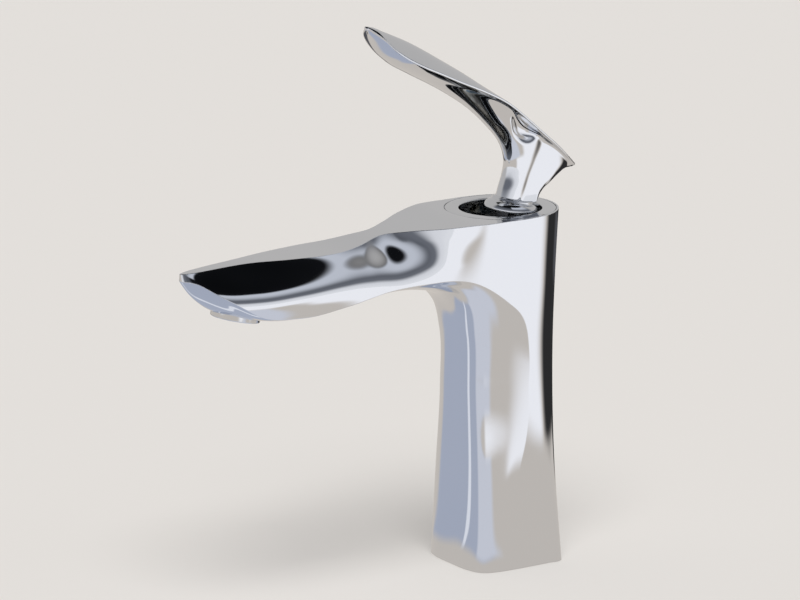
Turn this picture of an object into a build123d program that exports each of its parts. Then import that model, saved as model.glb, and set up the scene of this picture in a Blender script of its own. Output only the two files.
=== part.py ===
"""A single-lever basin mixer: cast body with a leaf-shaped spout, ceramic cartridge, swan-neck lever.

Millimetres. +Z is up, the deck is z = 0, the cartridge axis is the Z axis and the spout points to -Y.
The model stands in the open position: the lever is lifted and set to the middle of its turn.
"""
from build123d import *
from math import cos, sin, radians, sqrt
import os

os.makedirs("parts", exist_ok=True)

# Body casting, outside
body_height = 136.0          # deck to the flat round the lever
head_radius = 22.0           # round the cartridge, at the top
spout_reach = 140.0          # axis to the tip
base_half = 20.6             # half the width of the foot
waist_half = 18.8            # half the width of the column at its slimmest
base_rear = 19.4             # axis to the back of the foot
column_front = 22.6          # axis to the front of the foot
blade_half = 18.2            # half the width of the spout's blade
neck_half = 16.8             # half the width of the spout's neck, at its lower edge
top_drop = 5.9               # the flat down to the top of the blade
spout_under = 27.7           # the flat down to the lowest point of the spout
neck_under = 25.7            # the flat down to the underside of the neck
arch_radius = 20.0           # under the spout, where it leaves the column

# Cartridge and its chamber
cartridge_radius = 17.5
cartridge_height = 25.0      # floor of the chamber to the shoulder under the nut
chamber_depth = 40.0         # the flat down to the chamber's floor
pivot_depth = 23.0           # the flat down to the lever's pivot
lever_tilt = 12.5            # degrees, how far the spindle leans back in the open position
base_thickness = 3.5
fixed_disc_thickness = 3.0
moving_disc_thickness = 2.5
holder_thickness = 4.0
disc_radius = 13.6
moving_disc_radius = 11.0
shoulder_thickness = 2.0
swing_hole_radius = 9.0      # in the housing's top, round the spindle
carrier_slot_half = 6.2      # along the spindle's swing
spindle_size = 7.6           # square
spindle_square_top = 25.6    # the pivot up to the end of the square
spindle_pin_radius = 2.6     # of the round end above the square, which the lever's screw holds
spindle_length = 31.0        # above the pivot
spindle_heel = 3.0           # below the pivot
pin_radius = 1.5
ball_radius = 2.3
ball_drop = 5.5              # the pivot down to the centre of the spindle's ball
inlet_port_radius = 2.2
inlet_port_pitch = 13.0
inlet_port_back = 4.5
outlet_port_radius = 3.0
outlet_port_front = 8.0
seal_width = 1.3
seal_thickness = 1.4
o_ring_radius = 0.8
nut_thread_radius = 18.9
nut_height = 7.0
nut_hole_radius = 12.0
nut_slot_width = 4.0
nut_slot_depth = 3.0

# Clearances
chamber_fit = 0.1            # between the cartridge and its chamber
thread_fit = 0.1             # between two threads, drawn as plain cylinders
turn_fit = 0.15              # between pieces that turn or slide in each other
pin_fit = 0.05               # between the pin and the spindle
ring_fit = 0.08              # between the cover ring and its seat

# Cover ring let into the top of the body
ring_radius = 21.0
ring_hole_radius = 15.75
ring_thickness = 1.7
ring_skirt_length = 5.5
ring_skirt_wall = 1.4
ring_round = 0.4             # rounding of the ring's hole

# Water's way inside the casting
waterway_radius = 4.2
waterway_depth = 19.3        # the flat down to the middle of the waterway
riser_half = 4.5
riser_front = 18.9           # axis to the front of the riser beside the cartridge
gallery_depth = 2.5          # cut into the chamber's floor

# Outlet
aerator_radius = 9.2
aerator_height = 9.0
aerator_wall = 1.3
aerator_ledge = 0.8
aerator_tilt = 12.0          # degrees, how far the outlet leans forward
aerator_proud = 0.5          # how far its rim stands out below the spout
gasket_thickness = 1.6
mesh_thickness = 1.0
mesh_cell_radius = 0.9       # of its six-sided cells
mesh_pitch = 2.4
mesh_count = 5
outlet_share = 0.834         # of the spout's reach

# Fixing to the deck
stud_radius = 4.0            # M8
stud_length = 75.0
stud_grip = 22.0             # length of the stud inside the body
stud_front = 11.5            # axis to the stud
deck_thickness = 25.0        # the deck that the clamp is drawn for
inlet_radius = 5.0           # M10 x 1 flexible hose
inlet_thread_length = 9.0
recess_height = 84.0         # the hollow for the hoses
recess_half = 13.5
recess_rear = 13.0
recess_front = 4.5
recess_corner = 7.0
base_seal_half = 17.3
base_seal_width = 2.6
base_seal_thickness = 2.0
base_seal_corner = 8.0
clamp_radius = 23.0
clamp_slot_half = 13.0
clamp_slot_front = 5.0       # axis to the front end of the slot for the hoses
clamp_rubber_thickness = 3.0
clamp_plate_thickness = 2.0
clamp_nut_flats = 13.0
clamp_nut_height = 8.0

# Lever
lever_rise = 76.0            # the flat up to the lever's tip
lever_front = 59.3           # axis to the tip
lever_rear = 33.0            # axis to the end of the tail
lever_half = 12.4            # half the width of the lever's leaf
lever_rim = 1.0              # thickness at the leaf's edge
lever_crown = 7.1            # how far the leaf bulges above its edge
lever_belly = 4.0            # how far the leaf bulges below its edge
stem_half = 5.3              # half the width of the stem's foot
fin_half = 3.6               # half the thickness of the fin behind the stem
foot_radius = 6.6            # of the foot that the collar sits on
foot_bottom = 20.5           # the pivot up to the end of the foot
foot_top = 26.5
collar_radius = 10.4
collar_height = 5.0
collar_wall = 1.3
socket_fit = 0.1             # between the spindle and its socket
screw_radius = 2.4
screw_length = 4.6
screw_rise = 29.3            # the pivot up to the screw
plug_length = 2.0
scoop_radius = 4.6

overrun = 60.0               # how far a cutting form runs past what it cuts
surface_tolerance = 0.01     # of the smooth faces drawn through points
leaf_margin = 3.5            # how far the leaf's two skins are drawn past its outline


def through(keys, values, at):
    """The height at one place of a smooth curve through the values at the keys."""
    last = len(keys) - 1
    here = max(0, min(last - 1, sum(key <= at for key in keys) - 1))

    def slope(j):
        if j == 0:
            return (values[1] - values[0]) / (keys[1] - keys[0])
        if j == last:
            return (values[j] - values[j - 1]) / (keys[j] - keys[j - 1])
        before, after = keys[j] - keys[j - 1], keys[j + 1] - keys[j]
        rise_before = (values[j] - values[j - 1]) / before
        rise_after = (values[j + 1] - values[j]) / after
        return (rise_before * after + rise_after * before) / (before + after)

    span = keys[here + 1] - keys[here]
    t = (at - keys[here]) / span
    return ((2 * t**3 - 3 * t**2 + 1) * values[here] + (t**3 - 2 * t**2 + t) * span * slope(here)
            + (3 * t**2 - 2 * t**3) * values[here + 1] + (t**3 - t**2) * span * slope(here + 1))


def running_length(points):
    """Distances along a row of points, for use as the keys of a curve."""
    keys = [0.0]
    for a, b in zip(points, points[1:]):
        keys.append(keys[-1] + sqrt(sum((p - q) ** 2 for p, q in zip(a, b))))
    return keys


def steps(start, stop, count):
    return [start + (stop - start) * i / (count - 1) for i in range(count)]


def surface(point, us, vs):
    """One smooth face through point(u, v)."""
    rows = [[Vector(*point(u, v)) for v in vs] for u in us]
    return Face.make_surface_from_array_of_points(rows, tol=surface_tolerance, min_deg=3, max_deg=5)


# The flank is the one smooth skin that runs round the back of the column and along both sides of
# the spout. Its stations are shares of the reach. Each level gives its rear reach in head radii,
# two half widths behind the axis as shares of the one on it, and the half widths of the head, the
# neck and the blade at the stations.
head_station_shares = (0.0, 0.07, 0.155, 0.25)
neck_station_shares = (0.335, 0.40, 0.48)
blade_station_shares = (0.57, 0.70, 0.82, 0.915, 0.970)
rear_station_shares = (0.82, 0.45)
level_height_shares = (-0.03, 0.33, 0.625, 0.794, 0.89, 0.963, 1.015)
level_girths = (base_half, waist_half, waist_half, head_radius, head_radius, head_radius, head_radius)
level_rear_shares = (0.891, 0.936, 0.955, 0.973, 0.991, 1.005)
level_rears = (base_rear,) + tuple(head_radius * share for share in level_rear_shares)
rear_width_shares = ((0.96, 1.00), (0.70, 0.94), (0.58, 0.88)) + 4 * ((0.57, 0.89),)
head_width_shares = (
    (1.000, 1.000, 0.990, 0.940),
    (1.000, 1.005, 1.005, 0.973),
    (0.995, 1.010, 1.010, 0.973),
    (0.918, 0.905, 0.877, 0.832),
    (0.955, 0.950, 0.923, 0.827),
    (0.986, 0.986, 0.968, 0.785),
    (1.005, 1.005, 0.986, 0.740),
)
neck_width_shares = (
    (1.048, 1.012, 1.012),
    (1.024, 1.000, 1.012),
    (1.024, 1.000, 1.012),
    (1.024, 0.994, 1.012),
    (0.952, 0.893, 0.952),
    (0.630, 0.390, 0.490),
    (0.490, 0.180, 0.310),
)
blade_width_shares = (
    (0.978, 1.000, 0.923, 0.714, 0.440),
    (0.978, 1.000, 0.923, 0.714, 0.440),
    (0.978, 1.000, 0.923, 0.714, 0.440),
    (0.978, 1.000, 0.923, 0.714, 0.440),
    (0.962, 0.989, 0.879, 0.687, 0.418),
    (0.530, 0.400, 0.180, 0.090, 0.050),
    (0.350, 0.240, 0.080, 0.040, 0.025),
)
level_heights = [share * body_height for share in level_height_shares]
middle_level = 4


def level_outline(level):
    """The flank's right-hand points at one level, from just past the back to just past the tip."""
    girth, rear = level_girths[level], level_rears[level]
    half = [girth * share for share in head_width_shares[level]]
    half += [neck_half * share for share in neck_width_shares[level]]
    half += [blade_half * share for share in blade_width_shares[level]]
    stations = head_station_shares + neck_station_shares + blade_station_shares
    forward = [spout_reach * share for share in stations]
    behind = [(half[0] * width, rear * back)
              for width, back in zip(rear_width_shares[level], rear_station_shares)]
    points = [(-behind[0][0], behind[0][1]), (0.0, rear)] + behind
    points += [(width, -reach) for width, reach in zip(half, forward)]
    return points + [(0.0, -spout_reach), (-half[-1], -forward[-1])]


level_outlines = [level_outline(level) for level in range(len(level_heights))]
flank_keys = running_length(level_outlines[middle_level])


def flank_point(around, height):
    across = [through(level_heights, [outline[i][0] for outline in level_outlines], height)
              for i in range(len(flank_keys))]
    along = [through(level_heights, [outline[i][1] for outline in level_outlines], height)
             for i in range(len(flank_keys))]
    x = through(flank_keys, across, around)
    y = through(flank_keys, along, around)
    on_the_middle = around in (flank_keys[1], flank_keys[-2])
    return (0.0 if on_the_middle else x, y, height)


# The belly is the smooth skin of the column's front, the arch and the spout's underside. Each row
# has its middle point, the direction in which it deepens (0 to the back, 90 straight up), the half
# width that its numbers follow, and five points from the middle outwards, each a width and a depth.
arch_front_share = 0.955
arch_front = arch_front_share * column_front
arch_y = -(arch_front + arch_radius)
arch_z = body_height - neck_under - arch_radius
column_row_shares = (
    # height in body heights, front in column fronts, widths and depths in the half width there
    (-0.06, 1.000, (0.500, 0.862, 0.983, 1.015, 1.188), (0.012, 0.140, 0.480, 0.990, 2.770)),
    (0.257, 0.950, (0.500, 0.846, 0.984, 1.037, 1.223), (0.016, 0.176, 0.585, 1.144, 2.980)),
    (0.500, 0.925, (0.436, 0.734, 0.872, 0.989, 1.170), (0.016, 0.181, 0.585, 1.277, 2.980)),
)
arch_row_shares = (
    # turn of the arch, widths and depths in waist half widths
    (0, (0.436, 0.734, 0.883, 1.016, 1.277), (0.021, 0.191, 0.585, 1.170, 2.340)),
    (30, (0.447, 0.755, 0.920, 1.064, 1.383), (0.027, 0.170, 0.430, 0.740, 1.600)),
    (60, (0.457, 0.766, 0.920, 1.064, 1.436), (0.037, 0.150, 0.310, 0.480, 0.960)),
    (90, (0.457, 0.745, 0.880, 1.000, 1.383), (0.048, 0.140, 0.232, 0.330, 0.700)),
)
spout_row_shares = (
    # reach, depth below the flat in spout unders, widths and depths in blade half widths
    (0.400, 0.877, (0.473, 0.769, 0.907, 1.071, 1.429), (0.038, 0.110, 0.172, 0.265, 0.540)),
    (0.560, 0.953, (0.473, 0.769, 0.934, 1.099, 1.429), (0.028, 0.078, 0.115, 0.170, 0.350)),
    (0.711, 1.000, (0.473, 0.769, 0.934, 1.126, 1.429), (0.022, 0.055, 0.088, 0.165, 0.400)),
    (0.835, 0.962, (0.440, 0.700, 0.879, 1.071, 1.429), (0.045, 0.112, 0.176, 0.320, 0.660)),
    (0.925, 0.770, (0.330, 0.550, 0.714, 0.934, 1.374), (0.110, 0.280, 0.430, 0.680, 1.250)),
    (0.965, 0.556, (0.121, 0.242, 0.357, 0.549, 1.374), (0.110, 0.341, 0.451, 0.604, 1.320)),
    (1.024, 0.230, (0.099, 0.198, 0.330, 0.549, 1.374), (0.090, 0.280, 0.420, 0.620, 1.430)),
)


def belly_row(y, z, turn, half, width_shares, depth_shares):
    widths = [half * share for share in width_shares]
    depths = [half * share for share in depth_shares]
    return (y, z, turn, [-widths[0], 0.0] + widths, [depths[0], 0.0] + depths)


belly_rows = [belly_row(-front * column_front, height * body_height, 0,
                        base_half if height < 0 else waist_half, widths, depths)
              for height, front, widths, depths in column_row_shares]
belly_rows += [belly_row(arch_y + arch_radius * cos(radians(turn)),
                         arch_z + arch_radius * sin(radians(turn)), turn, waist_half, widths, depths)
               for turn, widths, depths in arch_row_shares]
belly_rows += [belly_row(-reach * spout_reach, body_height - depth * spout_under, 90,
                         blade_half, widths, depths)
               for reach, depth, widths, depths in spout_row_shares]
belly_keys = running_length([row[:2] for row in belly_rows])
across_keys = (-1, 0, 1, 2, 3, 4, 5)


def belly_point(across, along):
    y, z, turn = (through(belly_keys, [row[i] for row in belly_rows], along) for i in range(3))
    places = range(len(across_keys))
    widths = [through(belly_keys, [row[3][i] for row in belly_rows], along) for i in places]
    depths = [through(belly_keys, [row[4][i] for row in belly_rows], along) for i in places]
    x = through(across_keys, widths, abs(across))
    depth = through(across_keys, depths, abs(across))
    return (x if across > 0 else -x, y + depth * cos(radians(turn)), z + depth * sin(radians(turn)))


def underside_height(y):
    """Height of the middle of the spout's underside."""
    spout = [row for row in reversed(belly_rows) if row[2] == 90]
    return through([row[0] for row in spout], [row[1] for row in spout], y)


# The top face: flat round the cartridge, then falling gently to the blade. Reach and drop of its line.
top_line_shares = ((0.250, 0.13), (0.336, 0.28), (0.400, 0.43), (0.436, 0.56), (0.479, 0.75),
                   (0.536, 0.92), (0.600, 0.98), (0.700, 1.00), (0.800, 1.01), (0.870, 1.08),
                   (0.943, 1.19), (1.010, 1.29), (1.180, 1.60))
top_flat_share = 0.167


def flank_block():
    around = steps(flank_keys[1], flank_keys[-2], 120)
    around[0], around[-1] = flank_keys[1], flank_keys[-2]
    right = surface(flank_point, around, steps(level_heights[0], level_heights[-1], 40))
    left = right.mirror(Plane.YZ)

    def cap(height):
        rim = [edge for face in (right, left) for edge in face.edges()
               if abs(edge.center().Z - height) < surface_tolerance and edge.length > head_radius]
        return Face(Wire(rim))

    return Solid(Shell([right, left, cap(level_heights[0]), cap(level_heights[-1])]))


def belly_face():
    return surface(belly_point, steps(-across_keys[-1], across_keys[-1], 101),
                   steps(0.0, belly_keys[-1], 140))


def below_top():
    """Everything under the top face and above the deck."""
    flat_end = (-top_flat_share * spout_reach, body_height)
    line = [flat_end] + [(-reach * spout_reach, body_height - drop * top_drop)
                         for reach, drop in top_line_shares]
    line_end = (line[-1][0] - line[-2][0], line[-1][1] - line[-2][1])
    with BuildPart() as block:
        with BuildSketch(Plane.YZ):
            with BuildLine():
                Polyline(line[-1], (line[-1][0], 0), (overrun, 0), (overrun, body_height), flat_end)
                Spline(*line, tangents=[(-1, 0), line_end])
            make_face()
        extrude(amount=overrun, both=True)
    return block.part


def casting():
    """The outer form: the flank trimmed by the belly, the top face and the deck."""
    pieces = flank_block().split(belly_face(), keep=Keep.ALL)
    kept = max(pieces, key=lambda piece: piece.bounding_box().max.Z)
    return kept & below_top()


def at(shape, x=0.0, y=0.0, z=0.0):
    return Pos(x, y, z) * shape


def rod(radius, bottom, top, x=0.0, y=0.0):
    """An upright cylinder between two heights."""
    return at(Cylinder(radius, top - bottom), x, y, (bottom + top) / 2)


def tube(outer, inner, bottom, top, x=0.0, y=0.0):
    return rod(outer, bottom, top, x, y) - rod(inner, bottom - overrun, top + overrun, x, y)


def block(x0, x1, y0, y1, z0, z1):
    return at(Box(x1 - x0, y1 - y0, z1 - z0), (x0 + x1) / 2, (y0 + y1) / 2, (z0 + z1) / 2)


def rounded_post(half, front, rear, corner, bottom, top):
    """An upright post with rounded corners, from -front to rear along Y."""
    outline = RectangleRounded(2 * half, front + rear, corner)
    return at(extrude(outline, top - bottom), 0, (rear - front) / 2, bottom)


# Heights of the stack in the chamber
pivot_z = body_height - pivot_depth
floor_z = body_height - chamber_depth
base_top = floor_z + base_thickness
fixed_disc_top = base_top + fixed_disc_thickness
moving_disc_top = fixed_disc_top + moving_disc_thickness
holder_top = moving_disc_top + holder_thickness
shoulder_z = floor_z + cartridge_height
nut_top = shoulder_z + nut_height
ring_seat_z = body_height - ring_thickness
ring_skirt_bottom = ring_seat_z - ring_skirt_length
chamber_radius = cartridge_radius + chamber_fit
neck_bore_radius = nut_thread_radius + thread_fit

# The frame of the tilted lever: Z runs up the spindle from the pivot.
lever_frame = Location((0, 0, pivot_z), (-lever_tilt, 0, 0))

# The frame of the tilted outlet: its origin is on the rim's plane and Z runs up into the spout.
outlet_y = -outlet_share * spout_reach
outlet_frame = Location((0, outlet_y, underside_height(outlet_y) - aerator_proud), (-aerator_tilt, 0, 0))


def body():
    form = casting()
    form -= rod(ring_radius + ring_fit, ring_seat_z, body_height + overrun)
    form -= rod(neck_bore_radius, shoulder_z, body_height + overrun)
    form -= rod(chamber_radius, floor_z, body_height)
    riser_top = body_height - waterway_depth
    form -= block(-riser_half, riser_half, -riser_front, -outlet_port_front, floor_z, riser_top)
    form -= block(-outlet_port_radius, outlet_port_radius, -riser_front, -outlet_port_front,
                  floor_z - gallery_depth, floor_z)
    form -= rod(outlet_port_radius, floor_z - gallery_depth, floor_z, y=-outlet_port_front)
    waterway = Cylinder(waterway_radius, -outlet_y - riser_front + riser_half)
    form -= at(Rot(90, 0, 0) * waterway, 0, (outlet_y - riser_front + riser_half) / 2, riser_top)
    socket_top = aerator_proud + aerator_height + gasket_thickness
    form -= outlet_frame * rod(aerator_radius + thread_fit, -overrun, socket_top)
    form -= outlet_frame * rod(aerator_radius - aerator_wall, 0, riser_top - underside_height(outlet_y))
    form -= rounded_post(recess_half, recess_front, recess_rear, recess_corner, -overrun, recess_height)
    for side in (-1, 1):
        inlet_x = side * inlet_port_pitch / 2
        thread_top = recess_height + inlet_thread_length
        form -= rod(inlet_radius, recess_height, thread_top, inlet_x, inlet_port_back)
        form -= rod(inlet_port_radius, recess_height, body_height, inlet_x, inlet_port_back)
    form -= rod(stud_radius + thread_fit, -overrun, stud_grip, y=-stud_front)
    form -= seal_ring(base_seal_thickness)
    return form


def seal_ring(thickness):
    """The flat ring under the foot."""
    def square(half, corner):
        return extrude(RectangleRounded(2 * half, 2 * half, corner), thickness)

    middle = (base_rear - column_front) / 2
    inner = square(base_seal_half - base_seal_width, base_seal_corner - base_seal_width)
    return at(square(base_seal_half, base_seal_corner) - inner, 0, middle, 0)


def cover_ring():
    flange = tube(ring_radius, ring_hole_radius, ring_seat_z, body_height)
    top_edges = flange.edges().filter_by(GeomType.CIRCLE).group_by(Axis.Z)[-1]
    flange = fillet(top_edges.sort_by(SortBy.RADIUS)[0], ring_round)
    skirt_radius = neck_bore_radius - ring_fit
    return flange + tube(skirt_radius, skirt_radius - ring_skirt_wall, ring_skirt_bottom, ring_seat_z)


def cartridge_nut():
    nut = tube(nut_thread_radius, nut_hole_radius, shoulder_z, nut_top)
    for turn in (0, 90):
        nut -= Rot(0, 0, turn) * block(-nut_slot_width / 2, nut_slot_width / 2, -overrun, overrun,
                                       nut_top - nut_slot_depth, nut_top + overrun)
    return nut


def cartridge_housing():
    inner = disc_radius + turn_fit
    shell = tube(cartridge_radius, inner, base_top, shoulder_z - shoulder_thickness)
    shell += tube(cartridge_radius, swing_hole_radius, shoulder_z - shoulder_thickness, shoulder_z)
    groove_z = (base_top + shoulder_z) / 2
    groove_floor = cartridge_radius + chamber_fit - 2 * o_ring_radius
    return shell - tube(cartridge_radius + overrun, groove_floor,
                        groove_z - o_ring_radius, groove_z + o_ring_radius)


def housing_o_ring():
    """The seal in the housing's groove, pressed flat on its two faces."""
    ring_middle = cartridge_radius + chamber_fit - o_ring_radius
    groove_z = (base_top + shoulder_z) / 2
    return at(Torus(ring_middle, o_ring_radius), 0, 0, groove_z)


def port_cutters(bottom, top):
    cutters = [rod(inlet_port_radius, bottom, top, side * inlet_port_pitch / 2, inlet_port_back)
               for side in (-1, 1)]
    return cutters + [rod(outlet_port_radius, bottom, top, y=-outlet_port_front)]


def seal_at(port_radius, x, y):
    return tube(port_radius + seal_width, port_radius, floor_z, floor_z + seal_thickness, x, y)


def inlet_seals():
    return Compound([seal_at(inlet_port_radius, side * inlet_port_pitch / 2, inlet_port_back).solid()
                     for side in (-1, 1)])


def outlet_seal():
    return seal_at(outlet_port_radius, 0, -outlet_port_front)


def cartridge_base():
    plate = rod(cartridge_radius, floor_z, base_top)
    for cutter in port_cutters(floor_z, base_top):
        plate -= cutter
    seal_top = floor_z + seal_thickness
    for side in (-1, 1):
        plate -= rod(inlet_port_radius + seal_width, floor_z, seal_top,
                     side * inlet_port_pitch / 2, inlet_port_back)
    return plate - rod(outlet_port_radius + seal_width, floor_z, seal_top, y=-outlet_port_front)


def fixed_disc():
    disc = rod(disc_radius, base_top, fixed_disc_top)
    for cutter in port_cutters(base_top, fixed_disc_top):
        disc -= cutter
    return disc


def moving_disc():
    """The upper ceramic disc, with the mixing hollow in its underside."""
    disc = rod(moving_disc_radius, fixed_disc_top, moving_disc_top)
    hollow = extrude(SlotCenterToCenter(outlet_port_front, 2 * outlet_port_radius, rotation=90),
                     moving_disc_thickness / 2)
    return disc - at(hollow, 0, -outlet_port_front / 2, fixed_disc_top)


def disc_holder():
    holder = rod(moving_disc_radius, moving_disc_top, holder_top)
    ball_y = -ball_drop * sin(radians(lever_tilt))
    return holder - rod(ball_radius + turn_fit, moving_disc_top, holder_top, y=ball_y)


def cartridge_carrier():
    """Turns with the lever in the housing and holds the pivot pin."""
    bottom = holder_top + turn_fit
    top = shoulder_z - shoulder_thickness - turn_fit
    carrier = rod(disc_radius - turn_fit, bottom, top)
    slot_half = spindle_size / 2 + turn_fit
    carrier -= block(-slot_half, slot_half, -carrier_slot_half, carrier_slot_half, bottom, top)
    return carrier - at(Rot(0, 90, 0) * Cylinder(pin_radius, 2 * disc_radius), 0, 0, pivot_z)


def pivot_pin():
    length = 2 * (disc_radius - turn_fit - pin_radius)
    return at(Rot(0, 90, 0) * Cylinder(pin_radius, length), 0, 0, pivot_z)


def spindle():
    half = spindle_size / 2
    bar = block(-half, half, -half, half, -spindle_heel, spindle_square_top)
    bar = chamfer(bar.edges().group_by(Axis.Z)[-1], pin_radius / 2)
    bar += rod(spindle_pin_radius, spindle_square_top, spindle_length)
    bar += rod(pin_radius, -ball_drop, -spindle_heel)
    bar += at(Sphere(ball_radius), 0, 0, -ball_drop)
    bar -= Rot(0, 90, 0) * Cylinder(pin_radius + pin_fit, 2 * spindle_size)
    return lever_frame * bar


# The lever's edge line in the side view, tip first: reach forward in lever fronts (behind the axis
# in lever rears), height above the flat in lever rises, half width in lever halves, crown and belly
# in their own sizes.
leaf_front_shares = ((1.000, 0.978, 0.08, 0.05, 0.10), (0.953, 0.937, 0.56, 0.38, 0.40),
                     (0.902, 0.889, 0.78, 0.70, 0.70), (0.835, 0.847, 0.91, 0.90, 0.85),
                     (0.708, 0.791, 1.00, 1.00, 0.93), (0.590, 0.749, 0.99, 0.90, 1.00),
                     (0.455, 0.700, 0.95, 0.75, 0.95), (0.320, 0.654, 0.90, 0.55, 1.00),
                     (0.212, 0.616, 0.85, 0.35, 1.00), (0.054, 0.550, 0.80, 0.14, 0.90))
leaf_rear_shares = ((0.203, 0.450, 0.73, 0.06, 0.60), (0.439, 0.366, 0.64, 0.05, 0.35),
                    (0.673, 0.287, 0.50, 0.05, 0.20), (0.848, 0.222, 0.35, 0.04, 0.15),
                    (1.000, 0.167, 0.15, 0.03, 0.10))
leaf_rows = [(-front * lever_front, body_height + rise * lever_rise, width * lever_half,
              crown * lever_crown, belly * lever_belly)
             for front, rise, width, crown, belly in leaf_front_shares]
leaf_rows += [(rear * lever_rear, body_height + rise * lever_rise, width * lever_half,
               crown * lever_crown, belly * lever_belly)
              for rear, rise, width, crown, belly in leaf_rear_shares]
leaf_keys = [row[0] for row in leaf_rows]


def leaf_value(column, y):
    return through(leaf_keys, [row[column] for row in leaf_rows], y)


def leaf_skin(side):
    """The leaf's top (side 1) or underside (side -1), drawn past its outline."""
    column = 3 if side > 0 else 4

    def point(across, y):
        inside = max(leaf_keys[0], min(leaf_keys[-1], y))
        half = leaf_value(2, inside)
        x = across * (half + leaf_margin)
        bulge = leaf_value(column, inside) * (1 - (x / (half + lever_rim)) ** 2)
        return (x, y, leaf_value(1, y) + side * (lever_rim / 2 + bulge))

    return surface(point, steps(-1, 1, 31),
                   steps(leaf_keys[0] - leaf_margin, leaf_keys[-1] + leaf_margin, 90))


def leaf():
    """The handle's leaf: its outline in plan, trimmed by its two skins."""
    right = [(row[2], row[0]) for row in leaf_rows]
    left = [(-x, y) for x, y in reversed(right)]
    with BuildPart() as column:
        with BuildSketch(Plane.XY.offset(body_height)):
            with BuildLine():
                Spline(*right)
                Line(right[-1], left[0])
                Spline(*left)
                ThreePointArc(left[-1], (0, -lever_front - lever_rim), right[0])
            make_face()
        extrude(amount=lever_rise + overrun)
    solid = column.part.solid()
    solid = min(solid.split(leaf_skin(1), keep=Keep.ALL), key=lambda piece: piece.center().Z)
    return max(solid.split(leaf_skin(-1), keep=Keep.ALL), key=lambda piece: piece.center().Z)


# The round neck: at each height above the flat, its front and its back in lever rears and its half
# width in stem halves. It stands in the collar and widens into the underside of the leaf.
neck_shares = ((-0.020, 0.010, 0.335, 1.00), (0.092, 0.085, 0.405, 0.98), (0.158, 0.122, 0.440, 0.95),
               (0.230, 0.130, 0.510, 0.98), (0.328, 0.055, 0.600, 1.12), (0.442, -0.170, 0.500, 1.38),
               (0.552, -0.430, 0.300, 1.62), (0.637, -0.690, 0.000, 1.80), (0.720, -0.950, -0.300, 1.95))

# The fin behind the neck, in the side view: down its back from the tail to the collar
fin_back_shares = ((0.985, 0.146), (0.880, 0.147), (0.723, 0.121), (0.611, 0.089),
                   (0.521, 0.062), (0.430, 0.006))
fin_width_shares = ((0.15, 1.00), (0.45, 1.00), (0.75, 0.92), (0.90, 0.72), (1.02, 0.42))
scoop_line_shares = ((0.05, 0.46), (0.36, 0.325))
scoop_side_share = 0.85


def side_place(share):
    return (share[0] * lever_rear, body_height + share[1] * lever_rise)


def under_leaf():
    """Everything below the line of the leaf's edge."""
    ridge = [(y, leaf_value(1, y)) for y in steps(leaf_keys[0], leaf_keys[-1], 25)]
    outline = Polyline(*ridge, (ridge[-1][0], 0), (ridge[0][0], 0), close=True)
    return extrude(Plane.YZ * make_face(outline), overrun, both=True)


def neck():
    sections = []
    for rise, front, back, width in neck_shares:
        height = body_height + rise * lever_rise
        middle, reach = (front + back) / 2 * lever_rear, (back - front) / 2 * lever_rear
        if reach > width * stem_half:
            outline = Rot(0, 0, 90) * Ellipse(reach, width * stem_half)
        else:
            outline = Ellipse(width * stem_half, reach)
        sections.append(Pos(0, middle, height) * outline)
    return loft(sections) & under_leaf()


def fin():
    back = [side_place(share) for share in fin_back_shares]
    ridge = [(y, leaf_value(1, y)) for y in steps(neck_shares[2][2] * lever_rear, back[0][0], 9)]
    start = side_place((neck_shares[0][2] / 2, fin_back_shares[-1][1]))
    with BuildPart() as side:
        with BuildSketch(Plane.YZ):
            with BuildLine():
                Polyline(start, *ridge[:-1], back[0])
                Spline(*back)
                Line(back[-1], start)
            make_face()
        extrude(amount=lever_half, both=True)
    right = [(width * fin_half, place * lever_rear) for place, width in fin_width_shares]
    left = [(-x, y) for x, y in reversed(right)]
    with BuildPart() as across:
        with BuildSketch(Plane.XY.offset(body_height)):
            with BuildLine():
                Spline(*right)
                Line(right[-1], left[0])
                Spline(*left)
                Line(left[-1], right[0])
            make_face()
        extrude(amount=overrun)
    return side.part & across.part


def scoop_cutters():
    (y0, z0), (y1, z1) = (side_place(share) for share in scoop_line_shares)
    run = sqrt((y1 - y0) ** 2 + (z1 - z0) ** 2)
    lean = Vector(0, y1 - y0, z1 - z0)
    capsule = Cylinder(scoop_radius, run) + Pos(0, 0, -run / 2) * Sphere(scoop_radius)
    capsule += Pos(0, 0, run / 2) * Sphere(scoop_radius)
    cutters = []
    for side in (-1, 1):
        offset = side * (stem_half + scoop_side_share * scoop_radius)
        middle = Vector(offset, (y0 + y1) / 2, (z0 + z1) / 2)
        cutters.append(Plane(origin=middle, x_dir=(1, 0, 0), z_dir=lean) * capsule)
    return cutters


def lever():
    form = neck() + fin()
    for cutter in scoop_cutters():
        form -= cutter
    form += lever_frame * rod(foot_radius, foot_bottom, foot_top)
    form += leaf()
    form -= lever_frame * collar_form(0)
    half = spindle_size / 2 + socket_fit
    pin_room = spindle_pin_radius + socket_fit
    square_top = spindle_square_top + socket_fit
    form -= lever_frame * block(-half, half, -half, half, foot_bottom - overrun, square_top)
    form -= lever_frame * rod(pin_room, foot_bottom, spindle_length + socket_fit)
    screw_hole = rearward(lever_rear, pin_room, Cylinder(screw_radius, lever_rear))
    return form - lever_frame * screw_hole


def rearward(length, start, shape):
    """A shape of this length, turned to lie along the screw's axis from this far behind the spindle's."""
    return Pos(0, start + length / 2, screw_rise) * Rot(90, 0, 0) * shape


def lever_screw():
    start = spindle_pin_radius + socket_fit
    key = extrude(RegularPolygon(screw_radius / 2, 6), screw_length / 4, both=True)
    screw = rearward(screw_length, start, Cylinder(screw_radius, screw_length))
    return lever_frame * (screw - rearward(screw_length / 2, start + screw_length / 2, key))


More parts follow.
